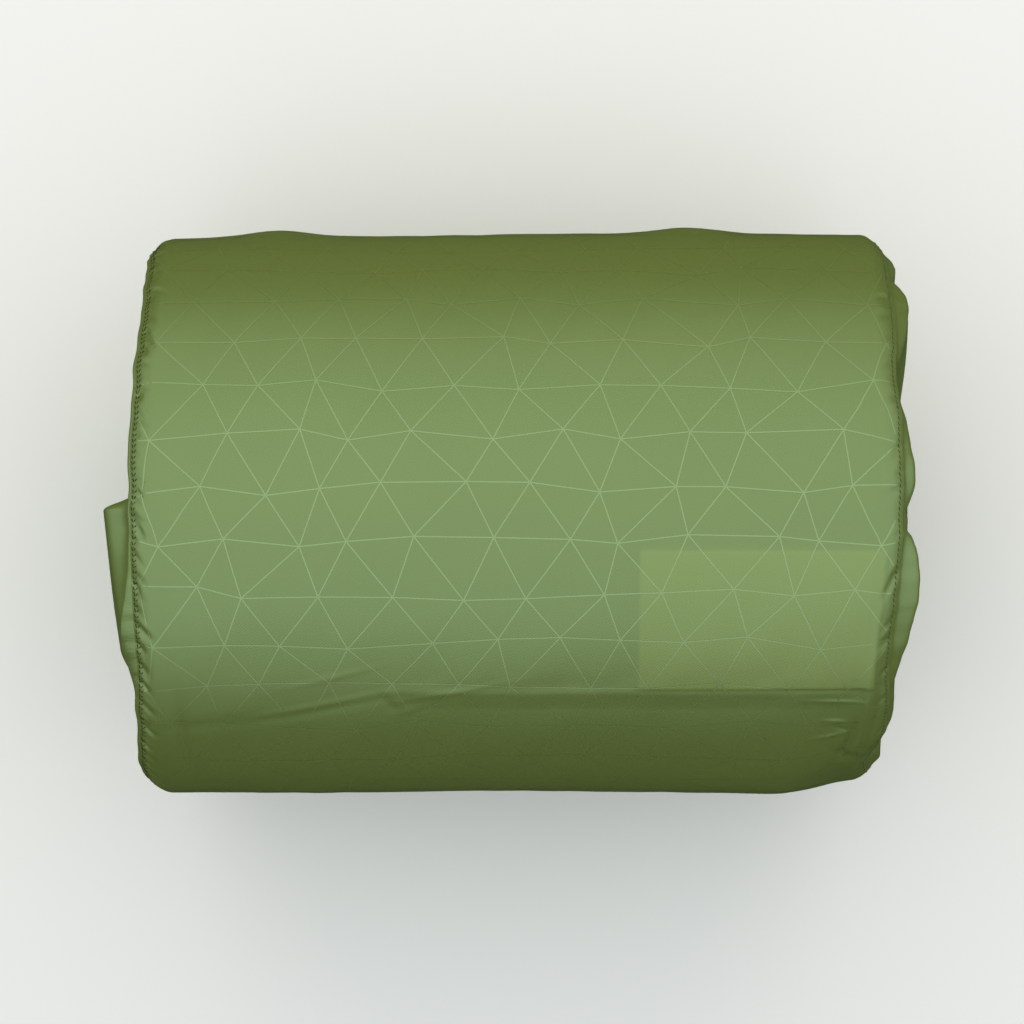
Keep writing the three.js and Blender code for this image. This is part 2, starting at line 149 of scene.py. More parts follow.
def quad_mesh(name, points, faces, uv=None):
    """A mesh from arrays: points (n, 3), faces (m, 4) of point numbers, uv (m, 4, 2)."""
    mesh = bpy.data.meshes.new(name)
    mesh.vertices.add(len(points))
    mesh.vertices.foreach_set("co", points.astype(np.float32).ravel())
    mesh.loops.add(faces.size)
    mesh.loops.foreach_set("vertex_index", faces.astype(np.int32).ravel())
    mesh.polygons.add(len(faces))
    mesh.polygons.foreach_set("loop_start", np.arange(0, faces.size, 4, dtype=np.int32))
    mesh.update(calc_edges=True)
    if uv is not None:
        layer = mesh.uv_layers.new(name="metres")
        layer.data.foreach_set("uv", uv.astype(np.float32).ravel())
    mesh.validate()
    return mesh


def grid_faces(rows, columns, round_columns):
    """Quads of a grid of points. round_columns joins the last column to the first."""
    row = np.arange(rows - 1)[:, None]
    column = np.arange(columns if round_columns else columns - 1)[None, :]
    after = (column + 1) % columns
    here, ahead = row * columns, (row + 1) * columns
    corners = (here + column, here + after, ahead + after, ahead + column)
    return np.stack(corners, axis=-1).reshape(-1, 4)


def grid_uv(u, v):
    """UV of each quad's corners from point values that have one more column than a closed grid."""
    uv = np.stack([u, v], axis=-1)
    corners = (uv[:-1, :-1], uv[:-1, 1:], uv[1:, 1:], uv[1:, :-1])
    return np.stack(corners, axis=2).reshape(-1, 4, 2)


def cloth_grid(name, grid, u, v, material, closed=True, merge=0.0):
    """A grid of points as a piece, with UV from u and v. A closed grid's last column repeats its first."""
    shown = grid[:, :-1] if closed else grid
    faces = grid_faces(shown.shape[0], shown.shape[1], closed)
    mesh = quad_mesh(name, shown.reshape(-1, 3), faces, grid_uv(u + 0 * v, v + 0 * u))
    print(name, len(faces), "quads")
    return finish_mesh(name, mesh, material, merge)


# %% [markdown]
# ## Small folds
# Thin cloth sewn to a stiff seam puckers, and cloth over a soft edge creases. Each pucker is a slanted lens:
# a bell curve that is long one way and narrow the other. Gentle waves are a few cosines added together.
# A seeded generator picks their sizes, so the script gives the same folds every time.

# %% Folds
def lenses(u, v, places):
    """Sum of bell curves height * exp(-(a/long)^2 - (b/narrow)^2), a and b along and across each lens."""
    total = np.zeros(np.broadcast(u, v).shape)
    for u0, v0, long, narrow, slant, height in places:
        du, dv = u - u0, v - v0
        along = du * math.cos(slant) + dv * math.sin(slant)
        across = dv * math.cos(slant) - du * math.sin(slant)
        total += height * np.exp(-((along / long) ** 2) - (across / narrow) ** 2)
    return total


def waves(u, v, seed, shortest, longest, count=9):
    """Mean of cosines of random direction, phase and wavelength: a soft ripple between about -1 and 1."""
    pick = np.random.default_rng(seed)
    total = np.zeros(np.broadcast(u, v).shape)
    for _ in range(count):
        length = pick.uniform(shortest, longest)
        way = pick.uniform(0, math.pi)
        turns = (u * math.cos(way) + v * math.sin(way)) / length + pick.uniform(0, 1)
        total += np.cos(2 * math.pi * turns)
    return total * 1.6 / count


def pucker_places(edge_x, inward, seed, first_arc, last_arc, pitch, strong):
    """Lenses along a seam, about one pitch apart, slanting as the needle drags the cloth."""
    pick = np.random.default_rng(seed)
    places = []
    arc = first_arc
    while arc < last_arc:
        long = pick.uniform(1.8, 4.4) * MM
        place_x = edge_x + inward * (long * 0.6 + pick.uniform(0.6, 1.8) * MM)
        slant = inward * pick.uniform(0.5, 1.15)
        narrow = pick.uniform(0.9, 1.6) * MM
        depth = pick.uniform(0.3, 1.6) * strong * MM
        places.append((place_x, arc, long, narrow, slant, -depth))
        places.append((place_x, arc - 1.7 * narrow, long, narrow, slant, 0.45 * depth))
        arc += pitch * pick.uniform(0.35, 1.65)
    return places


# %% [markdown]
# ## The wall's relief
# The wall is tight over the roll. It shows the roll's outer end as a long ridge with small wrinkles along it,
# two low bumps over the valves, the edges of a card, and puckers at both seams. The relief is a height
# over the plain oval, a function of the place along the roll and of the arc length round it.

# %% Wall relief
RIDGE_TURN = math.radians(129)
RIDGE_ARC = float(arc_at(RIDGE_TURN))
RIDGE_FROM, RIDGE_TO = LEFT + 92 * MM, RIGHT - 7 * MM
card_low, card_high = box_corners("care_card")
CARD_ARCS = [float(arc_at(math.acos(y / HALF_WIDTH))) for y in (card_high[1], card_low[1])]
VALVE_CAPS = ("inflation_valve_cap", "deflation_valve_cap")
VALVE_XS = [sum(corner[0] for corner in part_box(node)) / 2 for node in VALVE_CAPS]
SIDE_ARC = float(arc_at(math.radians(3)))

seam_lenses = pucker_places(LEFT, 1, 11, 0, GIRTH, 6.5 * MM, 1.0)
seam_lenses += pucker_places(RIGHT, -1, 12, 0, GIRTH, 10 * MM, 0.55)
wrinkles = [
    (LEFT + 78 * MM, RIDGE_ARC - 11 * MM, 15 * MM, 1.3 * MM, -0.28, 0.16 * MM),
    (LEFT + 72 * MM, RIDGE_ARC + 2 * MM, 26 * MM, 1.5 * MM, -0.24, 0.20 * MM),
    (LEFT + 73 * MM, RIDGE_ARC + 5 * MM, 26 * MM, 2.0 * MM, -0.24, -0.16 * MM),
    (LEFT + 98 * MM, RIDGE_ARC + 1 * MM, 5.0 * MM, 1.5 * MM, 1.15, -0.34 * MM),
    (LEFT + 101 * MM, RIDGE_ARC + 0.5 * MM, 5.0 * MM, 1.4 * MM, 1.05, 0.30 * MM),
    (LEFT + 106 * MM, RIDGE_ARC + 5 * MM, 4.5 * MM, 1.4 * MM, -0.5, 0.24 * MM),
    (LEFT + 122 * MM, RIDGE_ARC - 4 * MM, 17 * MM, 1.2 * MM, -0.22, 0.20 * MM),
    (LEFT + 30 * MM, RIDGE_ARC + 12 * MM, 24 * MM, 3.0 * MM, -0.16, -0.2 * MM),
    (RIGHT - 21 * MM, RIDGE_ARC + 1 * MM, 9 * MM, 0.9 * MM, 0.03, 0.40 * MM),
    (RIGHT - 22 * MM, RIDGE_ARC + 12 * MM, 4.5 * MM, 1.0 * MM, 0.10, 0.42 * MM),
    (RIGHT - 24 * MM, RIDGE_ARC + 21 * MM, 6 * MM, 1.1 * MM, -0.22, 0.42 * MM),
    (RIGHT - 18 * MM, RIDGE_ARC + 17 * MM, 5 * MM, 1.2 * MM, 0.35, -0.35 * MM),
    (RIGHT - 10 * MM, RIDGE_ARC + 7 * MM, 24 * MM, 2.6 * MM, 1.68, 1.0 * MM),
    (RIGHT - 14.5 * MM, RIDGE_ARC + 24 * MM, 15 * MM, 2.2 * MM, 1.74, -1.3 * MM),
    (RIGHT - 5.5 * MM, RIDGE_ARC + 12 * MM, 16 * MM, 1.5 * MM, 1.66, -0.9 * MM),
    (RIGHT - 12 * MM, RIDGE_ARC + 40 * MM, 12 * MM, 2.8 * MM, 0.8, -1.0 * MM),
    (RIGHT - 15 * MM, RIDGE_ARC - 70 * MM, 45 * MM, 3.0 * MM, 1.58, 0.35 * MM),
    (LEFT + 15 * MM, RIDGE_ARC - 60 * MM, 55 * MM, 3.2 * MM, 1.57, 0.40 * MM),
    (LEFT + 18 * MM, RIDGE_ARC + 22 * MM, 20 * MM, 2.4 * MM, 1.5, -0.7 * MM),
]


def ridge(x, arc):
    """A lip over the roll's end and a hollow below it, where the cloth spans down to the next turn."""
    line = RIDGE_ARC - 2.6 * MM + 0.5 * MM * waves(x, 0 * x, 21, 30 * MM, 90 * MM)
    below = arc - line
    reach = smooth(x, RIDGE_FROM - 4 * MM, RIDGE_FROM + 16 * MM)
    reach = reach * (1 - smooth(x, RIDGE_TO - 14 * MM, RIDGE_TO - 6 * MM))
    lip = 0.13 * MM * np.exp(-((below + 1.2 * MM) / (2.0 * MM)) ** 2)
    hollow = -0.62 * MM * smooth(below, -1.5 * MM, 8 * MM) * (1 - smooth(below, 10 * MM, 60 * MM))
    ruffle = 0.10 * MM * waves(x, arc, 22, 8 * MM, 18 * MM) * np.exp(-((below + 3 * MM) / (7 * MM)) ** 2)
    return reach * (lip + hollow + ruffle)


def card_mask(x, arc, soft=0.8 * MM):
    """1 over the card and 0 beyond it, with a soft edge."""
    along = smooth(x, card_low[0] - soft, card_low[0] + soft)
    along = along * (1 - smooth(x, card_high[0] - soft, card_high[0] + soft))
    return along * smooth(arc, CARD_ARCS[0] - soft, CARD_ARCS[0] + soft) * (
        1 - smooth(arc, CARD_ARCS[1] - soft, CARD_ARCS[1] + soft))


CORNER_IN, CORNER_LONG = 7.5 * MM, 42 * MM
CORNER_TURN, CORNER_SPREAD = math.radians(167), 0.46


def corner_drawn(x, turn):
    """How far the roll's softest corner, low at the mouth end on the near side, is drawn in."""
    near_it = np.exp(-((turn - CORNER_TURN) / CORNER_SPREAD) ** 2)
    return CORNER_IN * smooth(x, RIGHT - CORNER_LONG, RIGHT) * near_it


def wall_relief(x, arc, turn):
    """Height of the cloth over the plain oval."""
    height = 0.5 * MM * waves(x, arc, 5, 60 * MM, 160 * MM)
    height += 0.16 * MM * waves(x, arc, 6, 18 * MM, 45 * MM)
    height += lenses(x, arc, seam_lenses) + lenses(x, arc, wrinkles) + ridge(x, arc)
    height += 0.3 * MM * card_mask(x, arc)
    for valve_x in VALVE_XS:
        height += 2.2 * MM * np.exp(-(((x - valve_x) ** 2 + (arc - SIDE_ARC) ** 2) / (15 * MM) ** 2))
    height -= corner_drawn(x, turn)
    far_flank, near_flank = np.exp(-(turn / 0.5) ** 2), np.exp(-((turn - math.pi) / 0.5) ** 2)
    fuller = 0.9 * np.exp(-((x - 55 * MM) / (60 * MM)) ** 2)
    height += MM * far_flank * (fuller - 1.6 * (1 - smooth(x, LEFT, LEFT + 60 * MM)))
    height -= 1.1 * MM * near_flank * np.exp(-((x + 10 * MM) / (80 * MM)) ** 2)
    lying = smooth(outline(0.0, turn)[1], 1 * MM, 14 * MM)
    return height * lying


# %% Seam line
def seam_shift(turn, side):
    """How far a seam strays along X: a fine wobble, and a few places where it is drawn in more or less."""
    wobble = 0.45 * MM * waves(turn * 0.1, 0 * turn, 51 if side < 0 else 52, 6 * MM, 26 * MM)

    def bump(at, width):
        return np.exp(-((turn - math.radians(at)) / math.radians(width)) ** 2)

    if side < 0:
        return wobble + MM * (2.8 + 1.6 * bump(42, 22) + 0.9 * bump(120, 13) - 2.0 * bump(156, 14))
    drawn = 3.4 * bump(119, 17) + 5.6 * bump(162, 17) + 1.6 * bump(61, 7)
    return wobble - MM * drawn


SHIFT_FADE = 45 * MM


def along_shift(x, turn):
    """The shift of a place on the wall: a seam's own shift at its end, fading out towards the middle."""
    left = (1 - smooth(x, LEFT, LEFT + SHIFT_FADE)) * seam_shift(turn, -1)
    return left + smooth(x, RIGHT - SHIFT_FADE, RIGHT) * seam_shift(turn, 1)


# %% [markdown]
# ## Nylon
# The cloth is a thin coated nylon in a pale olive. It is smooth, so it takes a broad soft gloss, and close up
# it shows a diagonal weave. The shader is one Principled BSDF: olive with slight blotches, a weave of two
# crossed wave textures on the UV map, used for a little colour and for bump, and gloss that varies. The
# coating is dyed, so its reflections are tinted too, and its index is higher than the bare yarn's.

# %% Node helpers
def new_material(name):
    """An empty node material and its Principled shader."""
    material = bpy.data.materials.new(name)
    material.use_nodes = True
    return material, material.node_tree.nodes["Principled BSDF"]


def add_node(material, kind, **values):
    """A shader node with its sockets or settings given by name."""
    node = material.node_tree.nodes.new(kind)
    for key, value in values.items():
        if key in node.inputs:
            node.inputs[key].default_value = value
        else:
            setattr(node, key, value)
    return node


def wire(material, out_socket, in_socket):
    material.node_tree.links.new(out_socket, in_socket)


def maths(material, operation, first, second):
    """A Math node on sockets or numbers, of a material or of the world."""
    node = add_node(material, "ShaderNodeMath", operation=operation)
    for socket, value in zip(node.inputs, (first, second)):
        if isinstance(value, (int, float)):
            socket.default_value = value
        else:
            wire(material, value, socket)
    return node.outputs[0]


def blend_colour(material, factor, first, second, mode="MIX"):
    """A Mix Color node on sockets, numbers or colours."""
    node = add_node(material, "ShaderNodeMix", data_type="RGBA", blend_type=mode)
    for socket, value in ((node.inputs[0], factor), (node.inputs[6], first), (node.inputs[7], second)):
        if isinstance(value, bpy.types.NodeSocket):
            wire(material, value, socket)
        else:
            socket.default_value = value
    return node.outputs[2]


def step_up(material, value, low, high, first=0.0, last=1.0):
    """A smooth change from first to last as a socket goes from low to high."""
    node = add_node(material, "ShaderNodeMapRange", interpolation_type="SMOOTHSTEP")
    wire(material, value, node.inputs[0])
    for socket, number in zip(node.inputs[1:5], (low, high, first, last)):
        socket.default_value = number
    return node.outputs[0]


def between(material, value, low, high, soft):
    """1 while a socket is between low and high, with soft edges."""
    rise = step_up(material, value, low - soft, low + soft)
    fall = step_up(material, value, high + soft, high - soft)
    return maths(material, "MULTIPLY", rise, fall)


def texture(material, kind, place, out="Fac", **values):
    """A texture node read at a socket of places."""
    node = add_node(material, "ShaderNodeTex" + kind, **values)
    wire(material, place, node.inputs["Vector"])
    return node.outputs[out]


def woven_on_uv(material, place, angles, **values):
    """Wave textures on a UV map turned by each angle: one set of threads for each."""
    threads = []
    for angle in angles:
        lean = add_node(material, "ShaderNodeMapping", Rotation=(0, 0, math.radians(angle)))
        wire(material, place, lean.inputs["Vector"])
        threads.append(texture(material, "Wave", lean.outputs[0], **values))
    return threads


def rough_between(material, shader, value, low, high):
    """Roughness from low to high as a socket goes from 0 to 1."""
    rough = add_node(material, "ShaderNodeMapRange")
    wire(material, value, rough.inputs[0])
    rough.inputs[3].default_value = low
    rough.inputs[4].default_value = high
    wire(material, rough.outputs[0], shader.inputs["Roughness"])


def bumped(material, shader, height, strength, distance=0.2 * MM):
    """Bump on the shader's normal from a socket."""
    bump = add_node(material, "ShaderNodeBump", Strength=strength, Distance=distance)
    wire(material, height, bump.inputs["Height"])
    wire(material, bump.outputs[0], shader.inputs["Normal"])


# %% Nylon material
NYLON_INDEX, YARN_INDEX = 1.80, 2.15
WEAVE_SCALE, WEAVE_SHOWS, WEAVE_BUMP = 360.0, 0.11, 0.17
CARD_SHOWS, TAPE_SHOWS = 0.24, 0.14
TAPE_REACH = 11 * MM
OLIVE = (0.128, 0.172, 0.036, 1)
OLIVE_DEEP = (0.108, 0.150, 0.030, 1)
OLIVE_PALE = (0.290, 0.350, 0.070, 1)
GLOSS_TINT = (0.68, 1.0, 0.60, 1)


def nylon(name, first, second, card=False, gloss=(0.30, 0.38), index=NYLON_INDEX):
    """Coated nylon between two olives, woven on the UV map. card adds the pale card that shows through."""
    material, shader = new_material(name)
    place = add_node(material, "ShaderNodeUVMap", uv_map="metres").outputs[0]
    blotch = texture(material, "Noise", place, Scale=14.0, Detail=3.0, Roughness=0.55)
    colour = blend_colour(material, blotch, first, second)
    weave = woven_on_uv(material, place, (38, -52), Scale=WEAVE_SCALE, Distortion=0.6, Detail=1.0)
    cross = maths(material, "MULTIPLY", *weave)
    colour = blend_colour(material, maths(material, "MULTIPLY", cross, WEAVE_SHOWS), colour, OLIVE_PALE)
    if card:
        apart = add_node(material, "ShaderNodeSeparateXYZ")
        wire(material, place, apart.inputs[0])
        along = between(material, apart.outputs[0], float(card_low[0]), float(card_high[0]), 0.9 * MM)
        round_it = between(material, apart.outputs[1], CARD_ARCS[0], CARD_ARCS[1], 0.9 * MM)
        shows = maths(material, "MULTIPLY", maths(material, "MULTIPLY", along, round_it), CARD_SHOWS)
        colour = blend_colour(material, shows, colour, OLIVE_PALE)
        inside = between(material, apart.outputs[0], LEFT + TAPE_REACH, RIGHT - TAPE_REACH, 0.4 * MM)
        tape = maths(material, "MULTIPLY", maths(material, "SUBTRACT", 1.0, inside), TAPE_SHOWS)
        colour = blend_colour(material, tape, colour, OLIVE_DEEP)
    wire(material, colour, shader.inputs["Base Color"])
    rough_between(material, shader, blotch, *gloss)
    shader.inputs["IOR"].default_value = index
    shader.inputs["Specular IOR Level"].default_value = 1.0
    shader.inputs["Specular Tint"].default_value = GLOSS_TINT
    bumped(material, shader, cross, WEAVE_BUMP)
    return material


wall_nylon = nylon("wall_nylon", OLIVE, OLIVE_DEEP, card=True)
end_nylon = nylon("end_nylon", OLIVE, OLIVE_DEEP)
LINE, LINE_DEEP = (0.160, 0.206, 0.052, 1), (0.136, 0.180, 0.040, 1)
line_nylon = nylon("line_nylon", LINE, LINE_DEEP, gloss=(0.26, 0.32), index=YARN_INDEX)
print("nylons made")

# %% [markdown]
# ## The wall
# The wall is one cloth tube. Its grid is finer near the seams, where the puckers are, and coarser in the
# middle. The relief is added along the section's own normal, which on a near-round oval is close to the
# direction from the middle, so the oval's half axes simply grow by the height.

# %% Wall surface
END_BAND = 24 * MM
wall_x = np.concatenate([
    np.linspace(LEFT, LEFT + END_BAND, 37)[:-1],
    np.linspace(LEFT + END_BAND, RIGHT - END_BAND, 124)[:-1],
    np.linspace(RIGHT - END_BAND, RIGHT, 37),
])
wall_arc_steps = np.concatenate([
    np.linspace(0, RIDGE_ARC - 24 * MM, 300)[:-1],
    np.linspace(RIDGE_ARC - 24 * MM, RIDGE_ARC + 30 * MM, 90)[:-1],
    np.linspace(RIDGE_ARC + 30 * MM, GIRTH, 180),
])
wall_turn = np.interp(wall_arc_steps, fine_arc, fine_turns)
wall_arc = arc_at(wall_turn)


def turned_in(x):
    """How far the wall has turned in towards a seam: a parabola over the last stretch of its length."""
    past = np.maximum(0, np.maximum(LEFT + ROUNDING - x, x - RIGHT + ROUNDING)) / ROUNDING
    return TURN_IN * past ** 2


def wall_points(x, turn, arc):
    """Points of the wall for a column of x and a row of turns."""
    height = wall_relief(x, arc, turn)
    y, z = outline(turned_in(x) - height, turn)
    z = np.maximum(z, np.minimum(turned_in(x), TURN_IN) + 0 * turn)
    return np.stack([x + along_shift(x, turn), y, z], axis=-1)


wall_grid = wall_points(wall_x[:, None], wall_turn[None, :], wall_arc[None, :])
wall = cloth_grid("sack_wall_cloth", wall_grid, wall_x[:, None], wall_arc[None, :], wall_nylon)
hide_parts("sack_wall")
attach(wall, "packed_roll")

# %% Places on the wall
wall_normal = np.cross(np.gradient(wall_grid, axis=1), np.gradient(wall_grid, axis=0))
wall_normal /= np.linalg.norm(wall_normal, axis=-1, keepdims=True)
if wall_normal[60, wall_grid[60, :, 2].argmax(), 2] < 0:
    wall_normal = -wall_normal


def pick_from(grid, x, arc):
    """Bilinear reading of a grid over the wall at places (x, arc)."""
    row = np.interp(x, wall_x, np.arange(len(wall_x)))
    column = np.interp(np.mod(arc, GIRTH), wall_arc, np.arange(len(wall_arc)))
    r0 = np.minimum(row.astype(int), len(wall_x) - 2)
    c0 = np.minimum(column.astype(int), len(wall_arc) - 2)
    fr, fc = (row - r0)[..., None], (column - c0)[..., None]
    near = grid[r0, c0] * (1 - fc) + grid[r0, c0 + 1] * fc
    far = grid[r0 + 1, c0] * (1 - fc) + grid[r0 + 1, c0 + 1] * fc
    return near * (1 - fr) + far * fr


def on_wall(x, arc, lift):
    """Points a little above the wall's cloth."""
    return pick_from(wall_grid, x, arc) + lift * pick_from(wall_normal, x, arc)


# %% [markdown]
# ## The pattern of fine lines
# Thicker yarns cross the cloth in an uneven net of triangles. Drawing them with a shader would need the
# distance to many slanted lines, so they are narrow ribbons that follow the cloth. Nodes of a triangle grid
# are moved about by a seeded generator, and each edge of a triangle becomes one ribbon.

# %% Line net
ROWS = 34
NET_STEP = 25 * MM
NET_WIDTH = 0.5 * MM
EDGE_SAMPLES = 12


def net_edges():
    """Ends of the net's edges as (x, arc) pairs: along each row, and two from each node to the row above."""
    pick = np.random.default_rng(3)
    count = int((RIGHT - LEFT) / NET_STEP) + 4
    jitter = pick.uniform(-1, 1, (ROWS, count, 2)) * (6.0 * MM, 2.8 * MM)
    row = np.arange(ROWS)[:, None]
    x = LEFT - 2 * NET_STEP + NET_STEP * (np.arange(count)[None, :] + 0.5 * (row % 2)) + jitter[..., 0]
    arc = GIRTH / ROWS * (row + 0.5) + jitter[..., 1]
    above_x = np.roll(x, -1, axis=0)
    above_arc = np.roll(arc, -1, axis=0)
    above_arc[-1] += GIRTH
    edges = [(x[:, :-1], arc[:, :-1], x[:, 1:], arc[:, 1:]), (x, arc, above_x, above_arc)]
    even, odd = slice(0, ROWS, 2), slice(1, ROWS, 2)
    edges.append((x[even, 1:], arc[even, 1:], above_x[even, :-1], above_arc[even, :-1]))
    edges.append((x[odd, :-1], arc[odd, :-1], above_x[odd, 1:], above_arc[odd, 1:]))
    return np.concatenate([np.stack([part.ravel() for part in edge], axis=-1) for edge in edges])


def clipped(edges, low, high):
    """The stretch of each edge that lies between two x values, and only the edges that have one."""
    x0, a0, x1, a1 = edges.T
    run = np.where(np.abs(x1 - x0) < 1e-9, 1e-9, x1 - x0)
    t = np.sort(np.stack([(low - x0) / run, (high - x0) / run]), axis=0)
    first, last = np.maximum(t[0], 0), np.minimum(t[1], 1)
    kept = last - first > 0.02
    at = [np.stack([x0 + s * run, a0 + s * (a1 - a0)], axis=-1) for s in (first, last)]
    return at[0][kept], at[1][kept]


starts, ends = clipped(net_edges(), LEFT + 3 * MM, RIGHT - 3 * MM)
share = np.linspace(0, 1, EDGE_SAMPLES)[None, :, None]
middles = starts[:, None] * (1 - share) + ends[:, None] * share
ways = ends - starts
ways /= np.linalg.norm(ways, axis=-1, keepdims=True)
sideways = np.stack([-ways[:, 1], ways[:, 0]], axis=-1)[:, None] * NET_WIDTH / 2
net_flat = np.stack([middles - sideways, middles + sideways], axis=2)
net_points = on_wall(net_flat[..., 0], net_flat[..., 1], 0.06 * MM)
one = grid_faces(EDGE_SAMPLES, 2, False)
net_faces = (np.arange(len(starts))[:, None, None] * EDGE_SAMPLES * 2 + one[None]).reshape(-1, 4)
net_uv = net_flat.reshape(-1, 2)[net_faces]
net_mesh = quad_mesh("pattern_lines", net_points.reshape(-1, 3), net_faces, net_uv)
net = finish_mesh("pattern_lines", net_mesh, line_nylon)
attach(net, "packed_roll")
print("net edges", len(starts))

# %% [markdown]
# ## Stitches
# The wall is sewn to the base panel by two rows of dark thread, and to the collar by one row of olive thread.
# A stitch is a small rounded bead with few faces, because there are hundreds. All stitches of a row are one
# mesh, made by copying one bead's points to every place on the seam at once.

# %% Stitch rows
STITCH_PITCH = 2.2 * MM
STITCH_LIFT = 0.05 * MM


def stitch_row(name, x, material, length, width, slant):
    """Beads at every pitch round a seam: a point is place + long * way + wide * side + high * normal."""
    count = int(GIRTH / STITCH_PITCH)
    arc = (np.arange(count) + 0.5) * GIRTH / count
    half = 0.5 * length
    step_x, step_arc = half * math.sin(slant), half * math.cos(slant)
    tips = [on_wall(x + sign * step_x, arc + sign * step_arc, STITCH_LIFT) for sign in (-1, 1)]
    way = tips[1] - tips[0]
    middle = (tips[0] + tips[1]) / 2
    normal = pick_from(wall_normal, np.full(count, x), arc)
    side = np.cross(normal, way)
    side /= np.linalg.norm(side, axis=-1, keepdims=True)
    along = np.array([-0.5, -0.34, 0.34, 0.5])
    swell = np.array([0.35, 1.0, 1.0, 0.35])
    round_it = np.arange(6) * math.pi / 3
    points = (middle[:, None, None] + along[None, :, None, None] * way[:, None, None]
              + swell[None, :, None, None] * width / 2 * (
                  np.cos(round_it)[None, None, :, None] * side[:, None, None]
                  + np.sin(round_it)[None, None, :, None] * normal[:, None, None]))
    sides = grid_faces(4, 6, True)
    caps = np.array([[3, 2, 1, 0], [5, 4, 3, 0], [18, 19, 20, 21], [18, 21, 22, 23]])
    bead = np.concatenate([sides, caps])
    faces = (np.arange(count)[:, None, None] * 24 + bead[None]).reshape(-1, 4)
    mesh = quad_mesh(name, points.reshape(-1, 3), faces)
    piece = finish_mesh(name, mesh, material, merge=1e-7)
    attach(piece, "packed_roll")
    print(name, count)
    return piece


def thread_material(name, colour, dark):
    """Twisted thread: two tones in fine slanted bands, matte."""
    material, shader = new_material(name)
    place = add_node(material, "ShaderNodeTexCoord").outputs["Object"]
    twist = texture(material, "Wave", place, Scale=900.0, Distortion=1.5, bands_direction="DIAGONAL")
    wire(material, blend_colour(material, twist, colour, dark), shader.inputs["Base Color"])
    shader.inputs["Roughness"].default_value = 0.75
    shader.inputs["Sheen Weight"].default_value = 0.03
    shader.inputs["Specular IOR Level"].default_value = 0.12
    bumped(material, shader, twist, 0.4)
    return material


dark_thread = thread_material("dark_thread", (0.060, 0.062, 0.018, 1), (0.030, 0.032, 0.010, 1))
olive_thread = thread_material("olive_thread", (0.105, 0.125, 0.048, 1), (0.065, 0.08, 0.028, 1))
outer_row = stitch_row("base_stitches_outer", LEFT + 1 * MM, dark_thread, 1.6 * MM, 0.42 * MM, 0.25)
inner_row = stitch_row("base_stitches_inner", LEFT + 2 * MM, dark_thread, 1.2 * MM, 0.36 * MM, -0.7)
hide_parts("base_seam_thread")
collar_row = stitch_row("collar_stitches", RIGHT - 1.6 * MM, olive_thread, 1.6 * MM, 0.42 * MM, 0.3)
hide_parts("collar_seam_thread")

# %% [markdown]
# ## End panels
# Both ends are discs in the plane of a seam. A point is found from its share of the rim's radius and its
# turn, and a height along X is added: a low dome, puckers at the seam, and at the base the corner of the
# repair pouch, which pushes the cloth out in a wedge with a crisp standing edge.

# %% Base panel
pouch_low, pouch_high = box_corners("repair_pouch")
BASE_DOME = 2.4 * MM
POUCH_PUSH = 8.6 * MM
LEAST_PUSH = 3.9 * MM


def wall_end(turn, side):
    """x, y and z of the wall's own edge at a turn, so that what is sewn to it meets it all round."""
    ring = wall_grid[0 if side < 0 else -1]
    return [np.interp(turn, wall_turn, ring[:, axis]) for axis in range(3)]


def rim(share, turn, side):
    """y and z of a disc that fills the wall's end: the middle plus share of the way to the rim."""
    rim_y, rim_z = wall_end(turn, side)[1:]
    return share * rim_y, CENTRE + share * (rim_z - CENTRE)


EDGE_Y = pouch_high[1] + 1.0 * MM


def over_pouch(y, z):
    """1 where the panel lies over the repair pouch, with soft edges, crisp on the pouch's raised side."""
    aside = smooth(y, pouch_low[1] - 24 * MM, pouch_low[1] - 5 * MM)
    aside = aside * (1 - smooth(y, EDGE_Y - 0.5 * MM, EDGE_Y + 5.5 * MM))
    upright = smooth(z, pouch_low[2] - 30 * MM, pouch_low[2] - 2 * MM)
    return aside * upright * (1 - smooth(z, pouch_high[2] + 2.5 * MM, pouch_high[2] + 12.5 * MM))


def base_height(share, turn, y, z):
    """How far the base panel stands out from its seam."""
    dome = BASE_DOME * (1 - share ** 2)
    wedge = np.clip((y - pouch_low[1] + 5 * MM) / (EDGE_Y - pouch_low[1] + 5 * MM), 0, 1)
    push = (LEAST_PUSH + (POUCH_PUSH - LEAST_PUSH) * wedge) * over_pouch(y, z)
    edge = np.exp(-((1 - share) / 0.055) ** 2)
    pucker = 0.55 * MM * edge * waves(turn * 0.1, share * 0.1, 31, 7 * MM, 15 * MM)
    soft = 0.5 * MM * waves(y, z, 32, 35 * MM, 90 * MM) * (1 - share ** 6)
    lip = 0.9 * MM * np.exp(-((1 - share) / 0.03) ** 2)
    slanting = (y - EDGE_Y - 12 * MM) + 0.5 * (z - pouch_high[2])
    drawn = 0.5 * MM * np.exp(-((slanting / (4 * MM)) ** 2)) * over_pouch(EDGE_Y - 1 * MM, z)
    return dome + push + pucker * (1 - share ** 30) + soft + lip * (share < 1) - drawn


